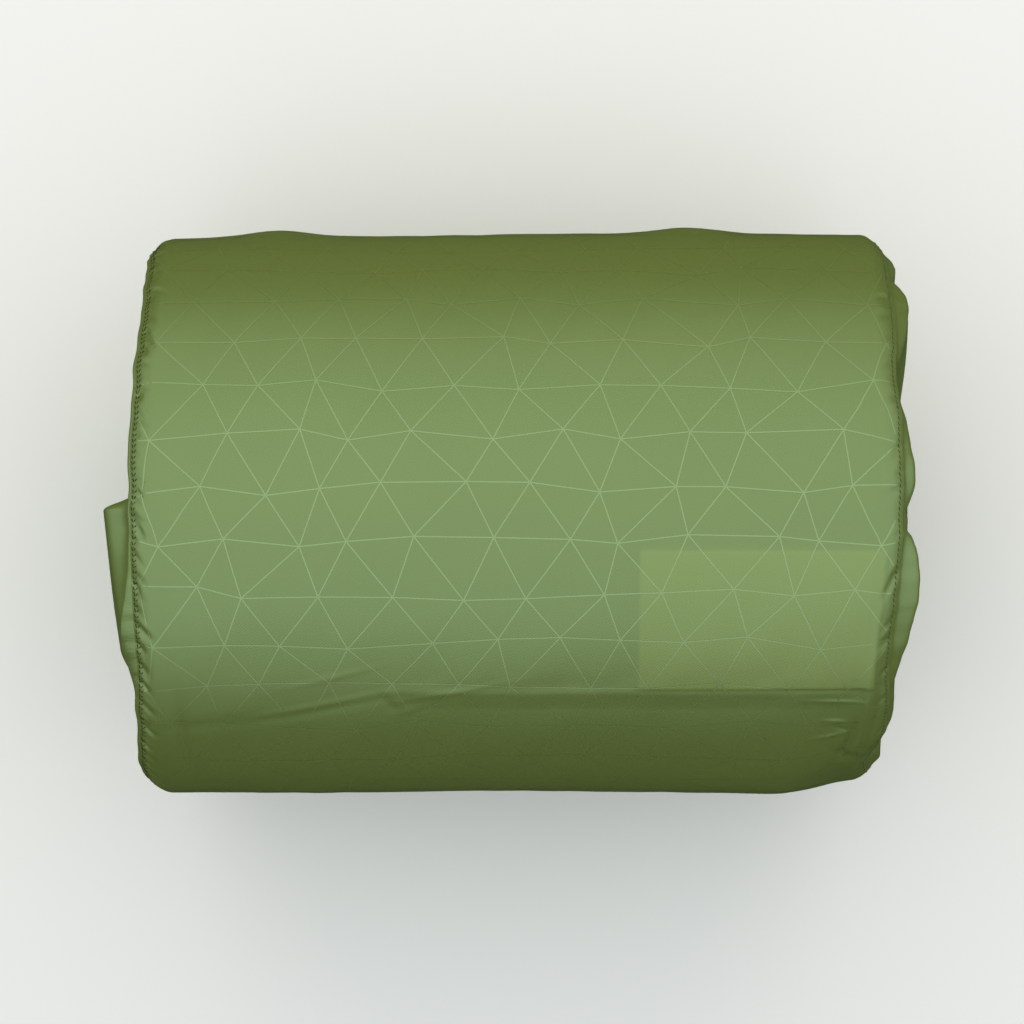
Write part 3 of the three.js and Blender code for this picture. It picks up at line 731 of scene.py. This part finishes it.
base_share = 1 - np.linspace(0, 1, 80)[::-1] ** 1.25
share_grid, turn_grid = base_share[:, None], wall_turn[None, :]
base_y, base_z = rim(share_grid, turn_grid, -1)
base_edge = wall_end(wall_turn, -1)[0]
flat_share = smooth(share_grid, 0.8, 1)
base_plane = LEFT + 2.6 * MM * (1 - over_pouch(base_y, base_z))
base_x = base_plane * (1 - flat_share) + base_edge * flat_share
base_x = base_x - base_height(share_grid, turn_grid, base_y, base_z)
base_x[-1] = base_edge
base_grid = np.stack([base_x, base_y, base_z], axis=-1)
base = cloth_grid("sack_base_cloth", base_grid, base_y, base_z, end_nylon, merge=1e-6)
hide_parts("sack_base")
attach(base, "packed_roll")

# %% [markdown]
# ## The gathered collar
# Past its seam the cloth bulges into soft lobes, and the cord pulls the rest down to a small ring. The whole
# strip is as long as the seam, so towards the ring it can only lie in pleats that get deeper. The surface is
# a profile, from the rim in and round the cord channel, moved to and fro across itself by the pleats.

# %% Collar
collar_high = box_corners("sack_collar")[1]
COLLAR_LENGTH = 84 * MM
PLEATS, SLOW_PLEATS = 40, 17
PLEAT_DEPTH, DISHED = 2.9 * MM, 2.6 * MM
MOUTH_RADIUS = 24 * MM
CHANNEL_RADIUS = 4.6 * MM
MOUTH_X = collar_high[0] - CHANNEL_RADIUS - 0.2 * MM
LOBES = [
    (-95, 1.0, 3.6), (-58, 0.8, 4.2), (-22, 1.3, 3.4), (5, 1.0, 3.8), (30, 0.55, 5.9), (56.5, 1.0, 0.3),
    (61, 2.2, 4.3), (89, 1.0, 0.3), (93.5, 0.7, 8.0), (130, 1.0, 1.9), (146, 1.0, 1.0), (163, 1.2, 3.2),
    (198, 0.9, 4.0), (232, 1.1, 3.6), (270, 1.0, 3.6),
]
lobe_waists = np.radians([lobe[0] for lobe in LOBES])


def lobes(turn):
    """Height of the lobes: 0 at each waist, and between two waists sin(pi * phase^lean) to the power 0.8."""
    phase = np.interp(turn, lobe_waists, np.arange(len(lobe_waists)))
    which = np.minimum(phase.astype(int), len(LOBES) - 1)
    lean = np.array([lobe[1] for lobe in LOBES])[which]
    height = np.array([lobe[2] for lobe in LOBES])[which]
    return height * MM * np.abs(np.sin(math.pi * (phase - which) ** lean)) ** 0.8


def collar_points(along, turn):
    """Points of the collar. along runs 0 to 1 from the rim to the channel and 1 to 2 round the channel."""
    radial = np.clip(along, 0, 1)
    loop = 2 * math.pi * 0.93 * np.clip(along - 1, 0, 1)
    rim_x, rim_y, rim_z = wall_end(turn, 1)
    ring_y, ring_z = MOUTH_RADIUS * np.cos(turn), MOUTH_RADIUS * np.sin(turn) + CENTRE
    out_y, out_z = rim_y - ring_y, rim_z - ring_z
    far = np.hypot(out_y, out_z)
    start = CHANNEL_RADIUS / far
    share = (1 - radial) * (1 - start) + start
    wide = np.where(along > 1, CHANNEL_RADIUS * np.cos(loop) / far, share)
    waist = 1.5 * MM * np.exp(-((turn - math.radians(91.2)) / 0.05) ** 2)
    proud = (0.6 * MM + waist + lobes(turn)) * smooth(radial, 0, 0.07)
    proud = proud - DISHED * smooth(radial, 0.1, 0.62)
    level = rim_x * (1 - smooth(radial, 0.05, 0.4)) + RIGHT * smooth(radial, 0.05, 0.4) + proud
    ring_level = MOUTH_X + CHANNEL_RADIUS * np.sin(loop)
    settle = smooth(radial, 0.62, 1.0)
    x = np.where(along > 1, ring_level, level * (1 - settle) + MOUTH_X * settle)
    drift = 0.5 * waves(turn * 0.1, radial * 0.04, 41, 30 * MM, 80 * MM)
    deep = PLEAT_DEPTH * smooth(radial, 0.04, 0.55) * (1 - 0.62 * smooth(radial, 0.8, 1.0))
    phase = PLEATS * turn + 2.2 * drift
    pleat = deep * (np.cos(phase + 2.5 * radial) + 0.35 * np.cos(SLOW_PLEATS * turn + 1.0))
    ruffle = 0.9 * MM * np.cos(phase + 2.5) * np.clip(along - 1, 0, 0.1) * 10
    outward = np.where(along > 1, np.sin(loop), 1.0)
    sideways = np.where(along > 1, np.cos(loop) * ruffle, 0.0)
    x = x + np.where(along > 1, ruffle * outward, pleat * 0.9)
    clear = RIGHT - 3.3 * MM + seam_shift(turn, 1) * (1 - smooth(radial, 0.0, 0.35))
    x = clear + 0.5 * (x - clear + np.sqrt((x - clear) ** 2 + (1.2 * MM) ** 2))
    x = np.where(radial > 0, x, rim_x)
    wide = wide + sideways / far
    return np.stack([x + 0 * wide, ring_y + wide * out_y, ring_z + wide * out_z], axis=-1)


collar_stretches = [np.linspace(0, 0.12, 14)[:-1], np.linspace(0.12, 1, 52)[:-1], np.linspace(1, 2, 25)]
collar_along = np.concatenate(collar_stretches)
collar_grid = collar_points(collar_along[:, None], wall_turn[None, :])
collar_down = COLLAR_LENGTH * collar_along[:, None]
collar = cloth_grid("sack_collar_cloth", collar_grid, collar_down, wall_arc[None, :], end_nylon)
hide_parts("sack_collar")
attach(collar, "packed_roll")

# %% [markdown]
# ## What lies just under the wall
# Binding tape covers the raw edges of both end seams, a folded allowance runs along the wall's own seam, and
# a plain card lies over the roll. They are thin and follow the wall, so each is a patch of the wall's surface
# moved inwards by its depth.

# %% Under the wall
TAPE_UNDER, CARD_UNDER = 1.7 * MM, 2.5 * MM
ALLOWANCE_WIDTH = 12 * MM
FOLD_TURN = math.radians(-48)


def cloth_tape(name, colour, dark, scale=900.0):
    """A matte woven tape: fine crossed bands for colour and bump on Object coordinates."""
    material, shader = new_material(name)
    place = add_node(material, "ShaderNodeTexCoord").outputs["Object"]
    bands = [texture(material, "Wave", place, Scale=scale, Distortion=0.8, bands_direction=direction)
             for direction in ("X", "Z")]
    cross = maths(material, "MULTIPLY", *bands)
    worn = texture(material, "Noise", place, Scale=60.0, Detail=4.0)
    tone = maths(material, "MULTIPLY", maths(material, "ADD", cross, worn), 0.6)
    wire(material, blend_colour(material, tone, dark, colour), shader.inputs["Base Color"])
    shader.inputs["Roughness"].default_value = 0.72
    shader.inputs["Sheen Weight"].default_value = 0.2
    bumped(material, shader, cross, 0.3)
    return material


def paper(name, colour, dark):
    """Uncoated card: pale, with faint clouds and a fine tooth."""
    material, shader = new_material(name)
    place = add_node(material, "ShaderNodeTexCoord").outputs["Object"]
    cloud = texture(material, "Noise", place, Scale=220.0, Detail=5.0)
    wire(material, blend_colour(material, cloud, dark, colour), shader.inputs["Base Color"])
    shader.inputs["Roughness"].default_value = 0.8
    bumped(material, shader, cloud, 0.15)
    return material


def under_wall(node, material, arcs, deep, columns):
    """A patch of the wall between a node's own x limits and two arcs, moved inwards by deep."""
    low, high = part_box(node)
    x = np.linspace(low[0], high[0], 24 if high[0] - low[0] < 0.03 else 90)[:, None]
    arc = np.linspace(arcs[0], arcs[1], columns)[None, :]
    points = on_wall(x + 0 * arc, arc + 0 * x, -deep)
    piece = cloth_grid(node + "_cloth", points, x, arc, material, closed=False)
    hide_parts(node)
    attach(piece, "packed_roll")
    return piece


tape = cloth_tape("binding_tape", (0.12, 0.15, 0.06, 1), (0.07, 0.09, 0.035, 1))
card_paper = paper("plain_card", (0.72, 0.73, 0.60, 1), (0.62, 0.63, 0.50, 1))
for side_name in ("base_seam_binding", "collar_seam_binding"):
    binding = under_wall(side_name, tape, (0, GIRTH), TAPE_UNDER, 300)
fold_arc = float(arc_at(FOLD_TURN))
fold_arcs = (fold_arc - ALLOWANCE_WIDTH / 2, fold_arc + ALLOWANCE_WIDTH / 2)
allowance = under_wall("wall_seam_allowance", tape, fold_arcs, TAPE_UNDER, 9)
under_wall("care_card", card_paper, CARD_ARCS, CARD_UNDER, 40)

# %% [markdown]
# ## The rolled pad
# The pad is folded in half, so across the roll each of its layers is a U, closed at the base end. The U is
# wound from the outside in. Each turn keeps its depth nearly all the way round, then steps down under the
# one before, where the pad's outer end lies. One formula winds all three layers, each at its own inset.

# %% Winding
SHEET, FOAM, GAP = 0.8 * MM, 6.1 * MM, 0.3 * MM
LEG = 2 * SHEET + FOAM + 2 * GAP
FOLDED = 2 * LEG + 0.5 * MM
PITCH = FOLDED + 0.5 * MM
roll_low, roll_high = box_corners("pad_lower_sheet")
ROLL_DEPTH = float(HALF_WIDTH - roll_high[1]) - 0.1 * MM
FACETS, FACETS_IN_TURN, STEP_FACETS = 117, 24, 3
WOUND = FACETS / FACETS_IN_TURN
STEP = STEP_FACETS / FACETS_IN_TURN


def wound_depth(turns):
    """Depth of the roll's outer face: whole turns times the pitch, and a smooth step at the end of each."""
    whole = np.floor(turns + 1e-9)
    return ROLL_DEPTH + PITCH * (whole + smooth(turns - whole, 1 - STEP, 1))


def layer_section(inset, thick, set_back):
    """The U as a closed line of (x, depth): out along one leg, round the fold, back along the other."""
    from_x, to_x = roll_low[0] + inset, roll_high[0] - set_back
    outer = FOLDED / 2 - inset
    bend = np.linspace(-math.pi / 2, math.pi / 2, 11)
    legs = np.linspace(to_x, from_x + outer, 8)[:-1]
    outer_bend = np.stack([from_x + outer - outer * np.cos(bend), FOLDED / 2 + outer * np.sin(bend)], axis=-1)
    inner = outer - thick
    inner_bend = np.stack([from_x + outer - inner * np.cos(bend), FOLDED / 2 + inner * np.sin(bend)], axis=-1)
    there = np.stack([legs, np.full(len(legs), inset)], axis=-1)
    back = np.stack([legs[::-1], np.full(len(legs), FOLDED - inset)], axis=-1)
    shut = np.stack([legs, np.full(len(legs), FOLDED - inset - thick)], axis=-1)
    home = np.stack([legs[::-1], np.full(len(legs), inset + thick)], axis=-1)
    return np.concatenate([there, outer_bend, back, shut, inner_bend[::-1], home])


def wound_layer(node, inset, thick, set_back, material):
    """One layer: every point of the U at every turn, with a slight wave along its open edges."""
    section = layer_section(inset, thick, set_back)
    turns = np.linspace(0, WOUND, 352)[:, None]
    x, deep = section[:, 0][None, :], section[:, 1][None, :]
    angle = RIDGE_TURN - 2 * math.pi * turns
    place = np.mod(angle + math.pi / 2, 2 * math.pi) - math.pi / 2
    open_edge = smooth(x, roll_high[0] - 30 * MM, roll_high[0])
    level = wound_depth(turns) + deep
    hidden = 1 - smooth(level, 20 * MM, 40 * MM)
    inward = 1.05 * corner_drawn(x, place) * hidden
    pulled = along_shift(x + 0 * place, place + 0 * x) * hidden * smooth(np.abs(x), 0.09, 0.13)
    wave = 0.5 * MM * waves(turns * 0.4, deep, 61, 25 * MM, 60 * MM) - 0.5 * MM
    y, z = outline(level + inward, angle)
    points = np.stack([x + pulled + wave * open_edge, y, z], axis=-1)
    faces = grid_faces(len(turns), section.shape[0], True)
    closing = section.shape[0]
    pairs = np.arange(closing // 2 - 1)
    cap = np.stack([pairs, closing - 1 - pairs, closing - 2 - pairs, pairs + 1], axis=-1)
    last = (len(turns) - 1) * closing
    all_faces = np.concatenate([faces, cap[:, ::-1], cap + last])
    mesh = quad_mesh(node + "_rolled", points.reshape(-1, 3), all_faces)
    piece = finish_mesh(node + "_rolled", mesh, material, merge=1e-7)
    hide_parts(node)
    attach(piece, "packed_roll")
    print(node, len(all_faces))
    return piece


def foam(name, colour, dark):
    """Open-cell foam: a fine Voronoi of cells for bump and colour, fully matte."""
    material, shader = new_material(name)
    place = add_node(material, "ShaderNodeTexCoord").outputs["Object"]
    cells = texture(material, "Voronoi", place, out="Distance", Scale=1100.0)
    wire(material, blend_colour(material, cells, dark, colour), shader.inputs["Base Color"])
    shader.inputs["Roughness"].default_value = 0.95
    bumped(material, shader, cells, 0.6, 0.4 * MM)
    return material


under_cloth = cloth_tape("pad_under_cloth", (0.055, 0.065, 0.075, 1), (0.03, 0.036, 0.042, 1), 1200.0)
top_cloth = cloth_tape("pad_top_cloth", (0.15, 0.19, 0.08, 1), (0.10, 0.13, 0.05, 1), 1000.0)
pale_foam = foam("pad_foam", (0.80, 0.74, 0.56, 1), (0.50, 0.45, 0.32, 1))
wound_layer("pad_lower_sheet", 0.0, SHEET, 0.0, under_cloth)
wound_layer("pad_foam_core", SHEET + GAP, FOAM, 5 * MM, pale_foam)
wound_layer("pad_upper_sheet", SHEET + FOAM + 2 * GAP, SHEET, 0.0, top_cloth)

# %% [markdown]
# ## Cord, eyelet and lock
# The cord is a tube carried along its route: once round the channel, out through the eyelet, down through the
# lock and into the knot. Its braid is a pattern on a UV map that runs along and round the cord. The lock's
# parts and the eyelet are profiles turned about an axis, with rounded edges and grip ribs.

# %% Tubes and turned pieces
def tube(name, route, radius, material, closed=False, sides=12):
    """A ring of points round each place of a route, in the plane across it, with UV in metres."""
    route = np.asarray(route, dtype=float)
    way = np.gradient(route, axis=0) if not closed else np.roll(route, -1, 0) - np.roll(route, 1, 0)
    way /= np.linalg.norm(way, axis=1, keepdims=True)
    frames = [np.cross(way[0], (0.3, 0.9, 0.2))]
    for step in way[1:]:
        frames.append(frames[-1] - step * np.dot(frames[-1], step))
        frames[-1] /= np.linalg.norm(frames[-1])
    first = np.array(frames)
    first /= np.linalg.norm(first, axis=1, keepdims=True)
    second = np.cross(way, first)
    turn = np.linspace(0, 2 * math.pi, sides + 1)
    ring = np.cos(turn)[None, :, None] * first[:, None] + np.sin(turn)[None, :, None] * second[:, None]
    points = route[:, None] + radius * ring[:, :-1]
    run = np.concatenate([[0], np.cumsum(np.linalg.norm(np.diff(route, axis=0), axis=1))])
    faces = grid_faces(len(route), sides, True)
    uv = grid_uv(run[:, None] + 0 * turn, radius * turn[None, :] + 0 * run[:, None])
    if closed:
        first_ring = np.arange(sides)
        last_ring = first_ring + (len(route) - 1) * sides
        seam = np.stack([last_ring, np.roll(last_ring, -1), np.roll(first_ring, -1), first_ring], axis=-1)
        faces = np.concatenate([faces, seam])
        uv = np.concatenate([uv, uv[:sides]])
    mesh = quad_mesh(name, points.reshape(-1, 3), faces, uv)
    piece = finish_mesh(name, mesh, material)
    work = bmesh.new()
    work.from_mesh(mesh)
    bmesh.ops.holes_fill(work, edges=work.edges, sides=0)
    bmesh.ops.recalc_face_normals(work, faces=work.faces)
    work.to_mesh(mesh)
    work.free()
    return piece


def turned(name, profile, middle, axis, material, sides=48, ribs=0, rib_depth=0.0):
    """A profile of (radius, place along the axis) turned about an axis. Ribs wave the radius."""
    profile = np.asarray(profile, dtype=float)
    turn = np.linspace(0, 2 * math.pi, sides + 1)[None, :-1]
    radius, along = profile[:, :1], profile[:, 1:2]
    ribbed = radius - rib_depth * (radius > 0.8 * radius.max()) * (0.5 + 0.5 * np.cos(ribs * turn))
    flat = [ribbed * np.cos(turn), ribbed * np.sin(turn)]
    parts = {0: [along + 0 * turn, *flat], 1: [flat[0], along + 0 * turn, flat[1]]}[axis]
    points = np.stack(parts, axis=-1) + np.asarray(middle)
    mesh = quad_mesh(name, points.reshape(-1, 3), grid_faces(len(profile), sides, True))
    return finish_mesh(name, mesh, material, merge=0.03 * MM)


def moulded(name, colour, dark, rough, metallic=0.0):
    """Moulded plastic or cast metal: one tone with a fine grain and faint rubbed patches."""
    material, shader = new_material(name)
    place = add_node(material, "ShaderNodeTexCoord").outputs["Object"]
    grain = texture(material, "Noise", place, Scale=2200.0, Detail=2.0)
    rub = texture(material, "Noise", place, Scale=120.0, Detail=4.0)
    wire(material, blend_colour(material, rub, dark, colour), shader.inputs["Base Color"])
    shader.inputs["Metallic"].default_value = metallic
    rough_between(material, shader, rub, rough - 0.08, rough + 0.1)
    bumped(material, shader, grain, 0.12, 0.1 * MM)
    return material


def braid(name, colour, dark):
    """Braided cord: two sets of slanted strands on the cord's UV map, one over the other."""
    material, shader = new_material(name)
    place = add_node(material, "ShaderNodeUVMap", uv_map="metres").outputs[0]
    over = maths(material, "MAXIMUM", *woven_on_uv(material, place, (40, -40), Scale=330.0))
    wire(material, blend_colour(material, over, dark, colour), shader.inputs["Base Color"])
    shader.inputs["Roughness"].default_value = 0.7
    shader.inputs["Sheen Weight"].default_value = 0.35
    bumped(material, shader, over, 0.7, 0.4 * MM)
    return material


# %% Cord and knot
CORD_RADIUS = 1.3 * MM
CORD_SPACING = 1.6 * MM
lock_low, lock_high = box_corners("cord_lock_barrel")
LOCK_X = (lock_low[0] + lock_high[0]) / 2
LOCK_Z = (lock_low[2] + lock_high[2]) / 2
LOCK_RADIUS = (lock_high[2] - lock_low[2]) / 2
knot_low, knot_high = box_corners("cord_knot")
KNOT_Z = (knot_low[2] + knot_high[2]) / 2
EYELET_Z = CENTRE - MOUTH_RADIUS
cord_braid = braid("cord_braid", (0.040, 0.046, 0.032, 1), (0.012, 0.014, 0.010, 1))


def smooth_route(points, samples):
    """A smooth line through chosen points: cubic pieces whose slope at a point follows its two neighbours."""
    points = np.asarray(points, dtype=float)
    slope = np.gradient(points, axis=0)
    at = np.linspace(0, len(points) - 1, samples)
    k = np.minimum(at.astype(int), len(points) - 2)
    t = (at - k)[:, None]
    h = [2 * t**3 - 3 * t**2 + 1, t**3 - 2 * t**2 + t, -2 * t**3 + 3 * t**2, t**3 - t**2]
    return h[0] * points[k] + h[1] * slope[k] + h[2] * points[k + 1] + h[3] * slope[k + 1]


cord_end = np.array([
    (LOCK_X, CORD_SPACING, knot_high[2] - 1 * MM),
    (LOCK_X, CORD_SPACING, LOCK_Z - LOCK_RADIUS),
    (LOCK_X, CORD_SPACING, LOCK_Z),
    (LOCK_X, CORD_SPACING, LOCK_Z + LOCK_RADIUS),
    (LOCK_X - 0.3 * MM, CORD_SPACING, EYELET_Z - 3 * MM),
    (LOCK_X - 2 * MM, CORD_SPACING, EYELET_Z - 0.6 * MM),
    (MOUTH_X + 3 * MM, CORD_SPACING + 0.1 * MM, EYELET_Z),
    (MOUTH_X + 0.8 * MM, CORD_SPACING + 1.2 * MM, EYELET_Z),
])
ring_turn = np.radians(np.linspace(13, 347, 23)) - math.pi / 2
ring_y, ring_z = MOUTH_RADIUS * np.cos(ring_turn), CENTRE + MOUTH_RADIUS * np.sin(ring_turn)
cord_ring = np.stack([MOUTH_X + 0 * ring_turn, ring_y, ring_z], axis=-1)
cord_back = cord_end[::-1] * (1, -1, 1)
cord_route = smooth_route(np.concatenate([cord_end, cord_ring, cord_back]), 420)
cord = tube("drawcord_braid", cord_route, CORD_RADIUS, cord_braid)
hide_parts("drawcord")
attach(cord, "packed_roll")
loop = np.linspace(0, 2 * math.pi, 161)[:-1]
knot_size = 1.05 * MM
knot_route = np.stack([
    LOCK_X + knot_size * (np.sin(loop) + 2 * np.sin(2 * loop)) * 0.85,
    knot_size * (np.cos(loop) - 2 * np.cos(2 * loop)),
    KNOT_Z - 1.5 * knot_size * np.sin(3 * loop),
], axis=-1)
knot = tube("cord_knot_tied", knot_route, 1.25 * MM, cord_braid, closed=True)
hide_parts("cord_knot")
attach(knot, "packed_roll")
for side, tip in ((-1, "left"), (1, "right")):
    tail_points = [(LOCK_X, side * 0.8 * MM, KNOT_Z - 1 * MM), (LOCK_X, side * 1.6 * MM, KNOT_Z - 4 * MM),
                   (LOCK_X - 0.5 * MM, side * 2.6 * MM, KNOT_Z - 7.5 * MM)]
    tail = tube("cord_tip_" + tip, smooth_route(tail_points, 20), CORD_RADIUS, cord_braid)
    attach(tail, "packed_roll")
print("cord", len(cord_route))

# %% Eyelet and lock
plate = moulded("eyelet_plate", (0.30, 0.30, 0.28, 1), (0.18, 0.18, 0.165, 1), 0.36, metallic=1.0)
black = moulded("lock_plastic", (0.030, 0.032, 0.028, 1), (0.018, 0.020, 0.017, 1), 0.48)
eyelet_high = box_corners("cord_eyelet")[1]
curl = np.linspace(0, 2 * math.pi, 17)
eyelet_profile = np.stack([5.0 * MM + 1.35 * MM * np.cos(curl), 0.75 * MM * np.sin(curl) - 0.5 * MM], axis=-1)
eyelet_profile[:, 1] -= 0.6 * MM * (eyelet_profile[:, 0] < 4.1 * MM)
eyelet = turned("cord_eyelet_rolled", eyelet_profile, (eyelet_high[0], 0, EYELET_Z), 0, plate)
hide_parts("cord_eyelet")
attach(eyelet, "packed_roll")


def rounded_bar(radius, low, high, round_edge, bore=0.0, bore_depth=0.0):
    """A bar's profile with rounded rims, and a bore from its high end if asked."""
    bend = np.linspace(0, math.pi / 2, 6)
    side, out = radius - round_edge, round_edge
    first = [(side + out * math.sin(a), low + out - out * math.cos(a)) for a in bend]
    last = [(side + out * math.cos(a), high - out + out * math.sin(a)) for a in bend]
    start, end = [(1e-5, low)], [(1e-5, high)]
    if bore > 0:
        floor_at = high - bore_depth
        end = [(bore + 0.4 * MM, high), (bore, high - 0.4 * MM), (bore, floor_at), (1e-5, floor_at)]
    return start + first + last + end


LOCK_BORE, BORE_DEPTH = 4.0 * MM, 4.2 * MM
STEM_RADIUS, STEM_IN = 3.7 * MM, 0.4 * MM
HEAD_RADIUS, HEAD_THICKNESS = 4.6 * MM, 2.4 * MM
lock_middle = (LOCK_X, 0, LOCK_Z)
barrel_profile = rounded_bar(LOCK_RADIUS, lock_low[1], lock_high[1], 1.3 * MM, LOCK_BORE, BORE_DEPTH)
barrel = turned("cord_lock_barrel_moulded", barrel_profile, lock_middle, 1, black, 96, 12, 0.35 * MM)
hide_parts("cord_lock_barrel")
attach(barrel, "cord_lock")
button_high = box_corners("cord_lock_button")[1]
head_from = button_high[1] - HEAD_THICKNESS
button_profile = rounded_bar(STEM_RADIUS, lock_high[1] - STEM_IN, head_from, 0.2 * MM)[:-1]
button_profile += rounded_bar(HEAD_RADIUS, head_from, button_high[1], 0.8 * MM)[1:-1]
dish = button_high[1] - 0.4 * MM
button_profile += [(3.1 * MM, button_high[1]), (2.6 * MM, dish), (1e-5, dish - 0.1 * MM)]
button = turned("cord_lock_button_moulded", button_profile, lock_middle, 1, black)
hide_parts("cord_lock_button")
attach(button, "cord_lock_plunger")

# %% [markdown]
# ## Finishes of the pieces inside
# The valves, the lock's spring and the repair kit keep the solid model's shapes. Each gets its own finish.

# %% Finishes
satin_black = moulded("valve_plastic", (0.045, 0.052, 0.060, 1), (0.030, 0.034, 0.040, 1), 0.42)
silicone = moulded("valve_silicone", (0.62, 0.62, 0.58, 1), (0.54, 0.54, 0.50, 1), 0.6)
wire_steel = moulded("spring_wire", (0.62, 0.62, 0.60, 1), (0.48, 0.48, 0.46, 1), 0.3, metallic=1.0)
clear_film = moulded("pouch_film", (0.70, 0.72, 0.70, 1), (0.60, 0.62, 0.60, 1), 0.25)
foil = moulded("wipe_foil", (0.80, 0.80, 0.79, 1), (0.70, 0.70, 0.69, 1), 0.3, metallic=0.9)
patch_cloth = cloth_tape("patch_cloth", (0.14, 0.18, 0.07, 1), (0.09, 0.12, 0.045, 1))
FINISHES = {
    "inflation_valve_body": satin_black, "inflation_valve_cap": satin_black, "inflation_valve_flap": silicone,
    "deflation_valve_body": satin_black, "deflation_valve_cap": satin_black, "cord_lock_spring": wire_steel,
    "repair_pouch": clear_film, "repair_patch_sheet": patch_cloth, "cleaning_wipe": foil,
}
for node_name, finish in FINISHES.items():
    for material_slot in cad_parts[node_name].material_slots:
        material_slot.material = finish
print("finishes", len(FINISHES))

# %% [markdown]
# ## Floor and light
# A pale floor under a wide soft dome of light. The dome is brightest overhead and dims towards the far side,
# which gives the broad gloss along the top of the roll, and a soft panel on the far side fills that flank.
# The floor is left out of mirror-like rays only, so both flanks stay deep in tone, as over a dark table.

# %% Floor
floor_material, floor_shader = new_material("floor")
floor_shader.inputs["Base Color"].default_value = (0.88, 0.88, 0.89, 1)
floor_shader.inputs["Roughness"].default_value = 0.9
floor_mesh = bpy.data.meshes.new("floor")
floor_mesh.from_pydata([(-40, -40, 0), (40, -40, 0), (40, 40, 0), (-40, 40, 0)], [], [(0, 1, 2, 3)])
floor_mesh.materials.append(floor_material)
floor = add_object("floor", floor_mesh)
floor.visible_glossy = False


# %% Lights
def panel(name, place, aim, width, height, power):
    """A soft panel light at a place, facing a point."""
    data = bpy.data.lights.new(name, "AREA")
    data.shape = "RECTANGLE"
    data.size = width
    data.size_y = height
    data.energy = power
    lamp = add_object(name, data)
    lamp.location = place
    away = np.array(place) - np.array(aim)
    tilt = math.acos(away[2] / np.linalg.norm(away))
    lamp.rotation_euler = (tilt, 0, math.atan2(away[0], -away[1]))
    return lamp


far_side_panel = panel("far_side_panel", (0, 2.7, 1.3), (0, 0, 0.2), 4.6, 1.8, 44)
far_side_panel.data.color = (1.0, 0.90, 0.68)
far_side_panel.visible_glossy = False
far_side_panel.visible_camera = False
world = bpy.data.worlds.new("surround")
world.use_nodes = True
direction = add_node(world, "ShaderNodeTexCoord")
apart = add_node(world, "ShaderNodeSeparateXYZ")
wire(world, direction.outputs["Generated"], apart.inputs[0])
FAR_LOW, NEAR_LOW, END_LOW, DOME_LIGHT = 0.30, 0.03, 0.45, 1.05
along, across, upwards = apart.outputs
towards_far = step_up(world, across, -0.35, 0.35, 0, 1)
towards_near = step_up(world, across, -0.35, 0.35, 1, 0)
far_part = maths(world, "MULTIPLY", towards_far, step_up(world, upwards, 0.0, 1.0, FAR_LOW, 1))
near_part = maths(world, "MULTIPLY", towards_near, step_up(world, upwards, 0.0, 0.9, NEAR_LOW, 1))
end_part = step_up(world, maths(world, "MULTIPLY", along, along), 0.2, 0.9, 0, END_LOW)
above = step_up(world, upwards, -0.06, 0.04, 0.05, DOME_LIGHT)
three_parts = maths(world, "ADD", maths(world, "ADD", far_part, near_part), end_part)
background = world.node_tree.nodes["Background"]
wire(world, maths(world, "MULTIPLY", three_parts, above), background.inputs["Strength"])
background.inputs["Color"].default_value = (0.97, 1.0, 0.98, 1)
bpy.context.scene.world = world
bpy.context.scene.view_settings.view_transform = "Standard"
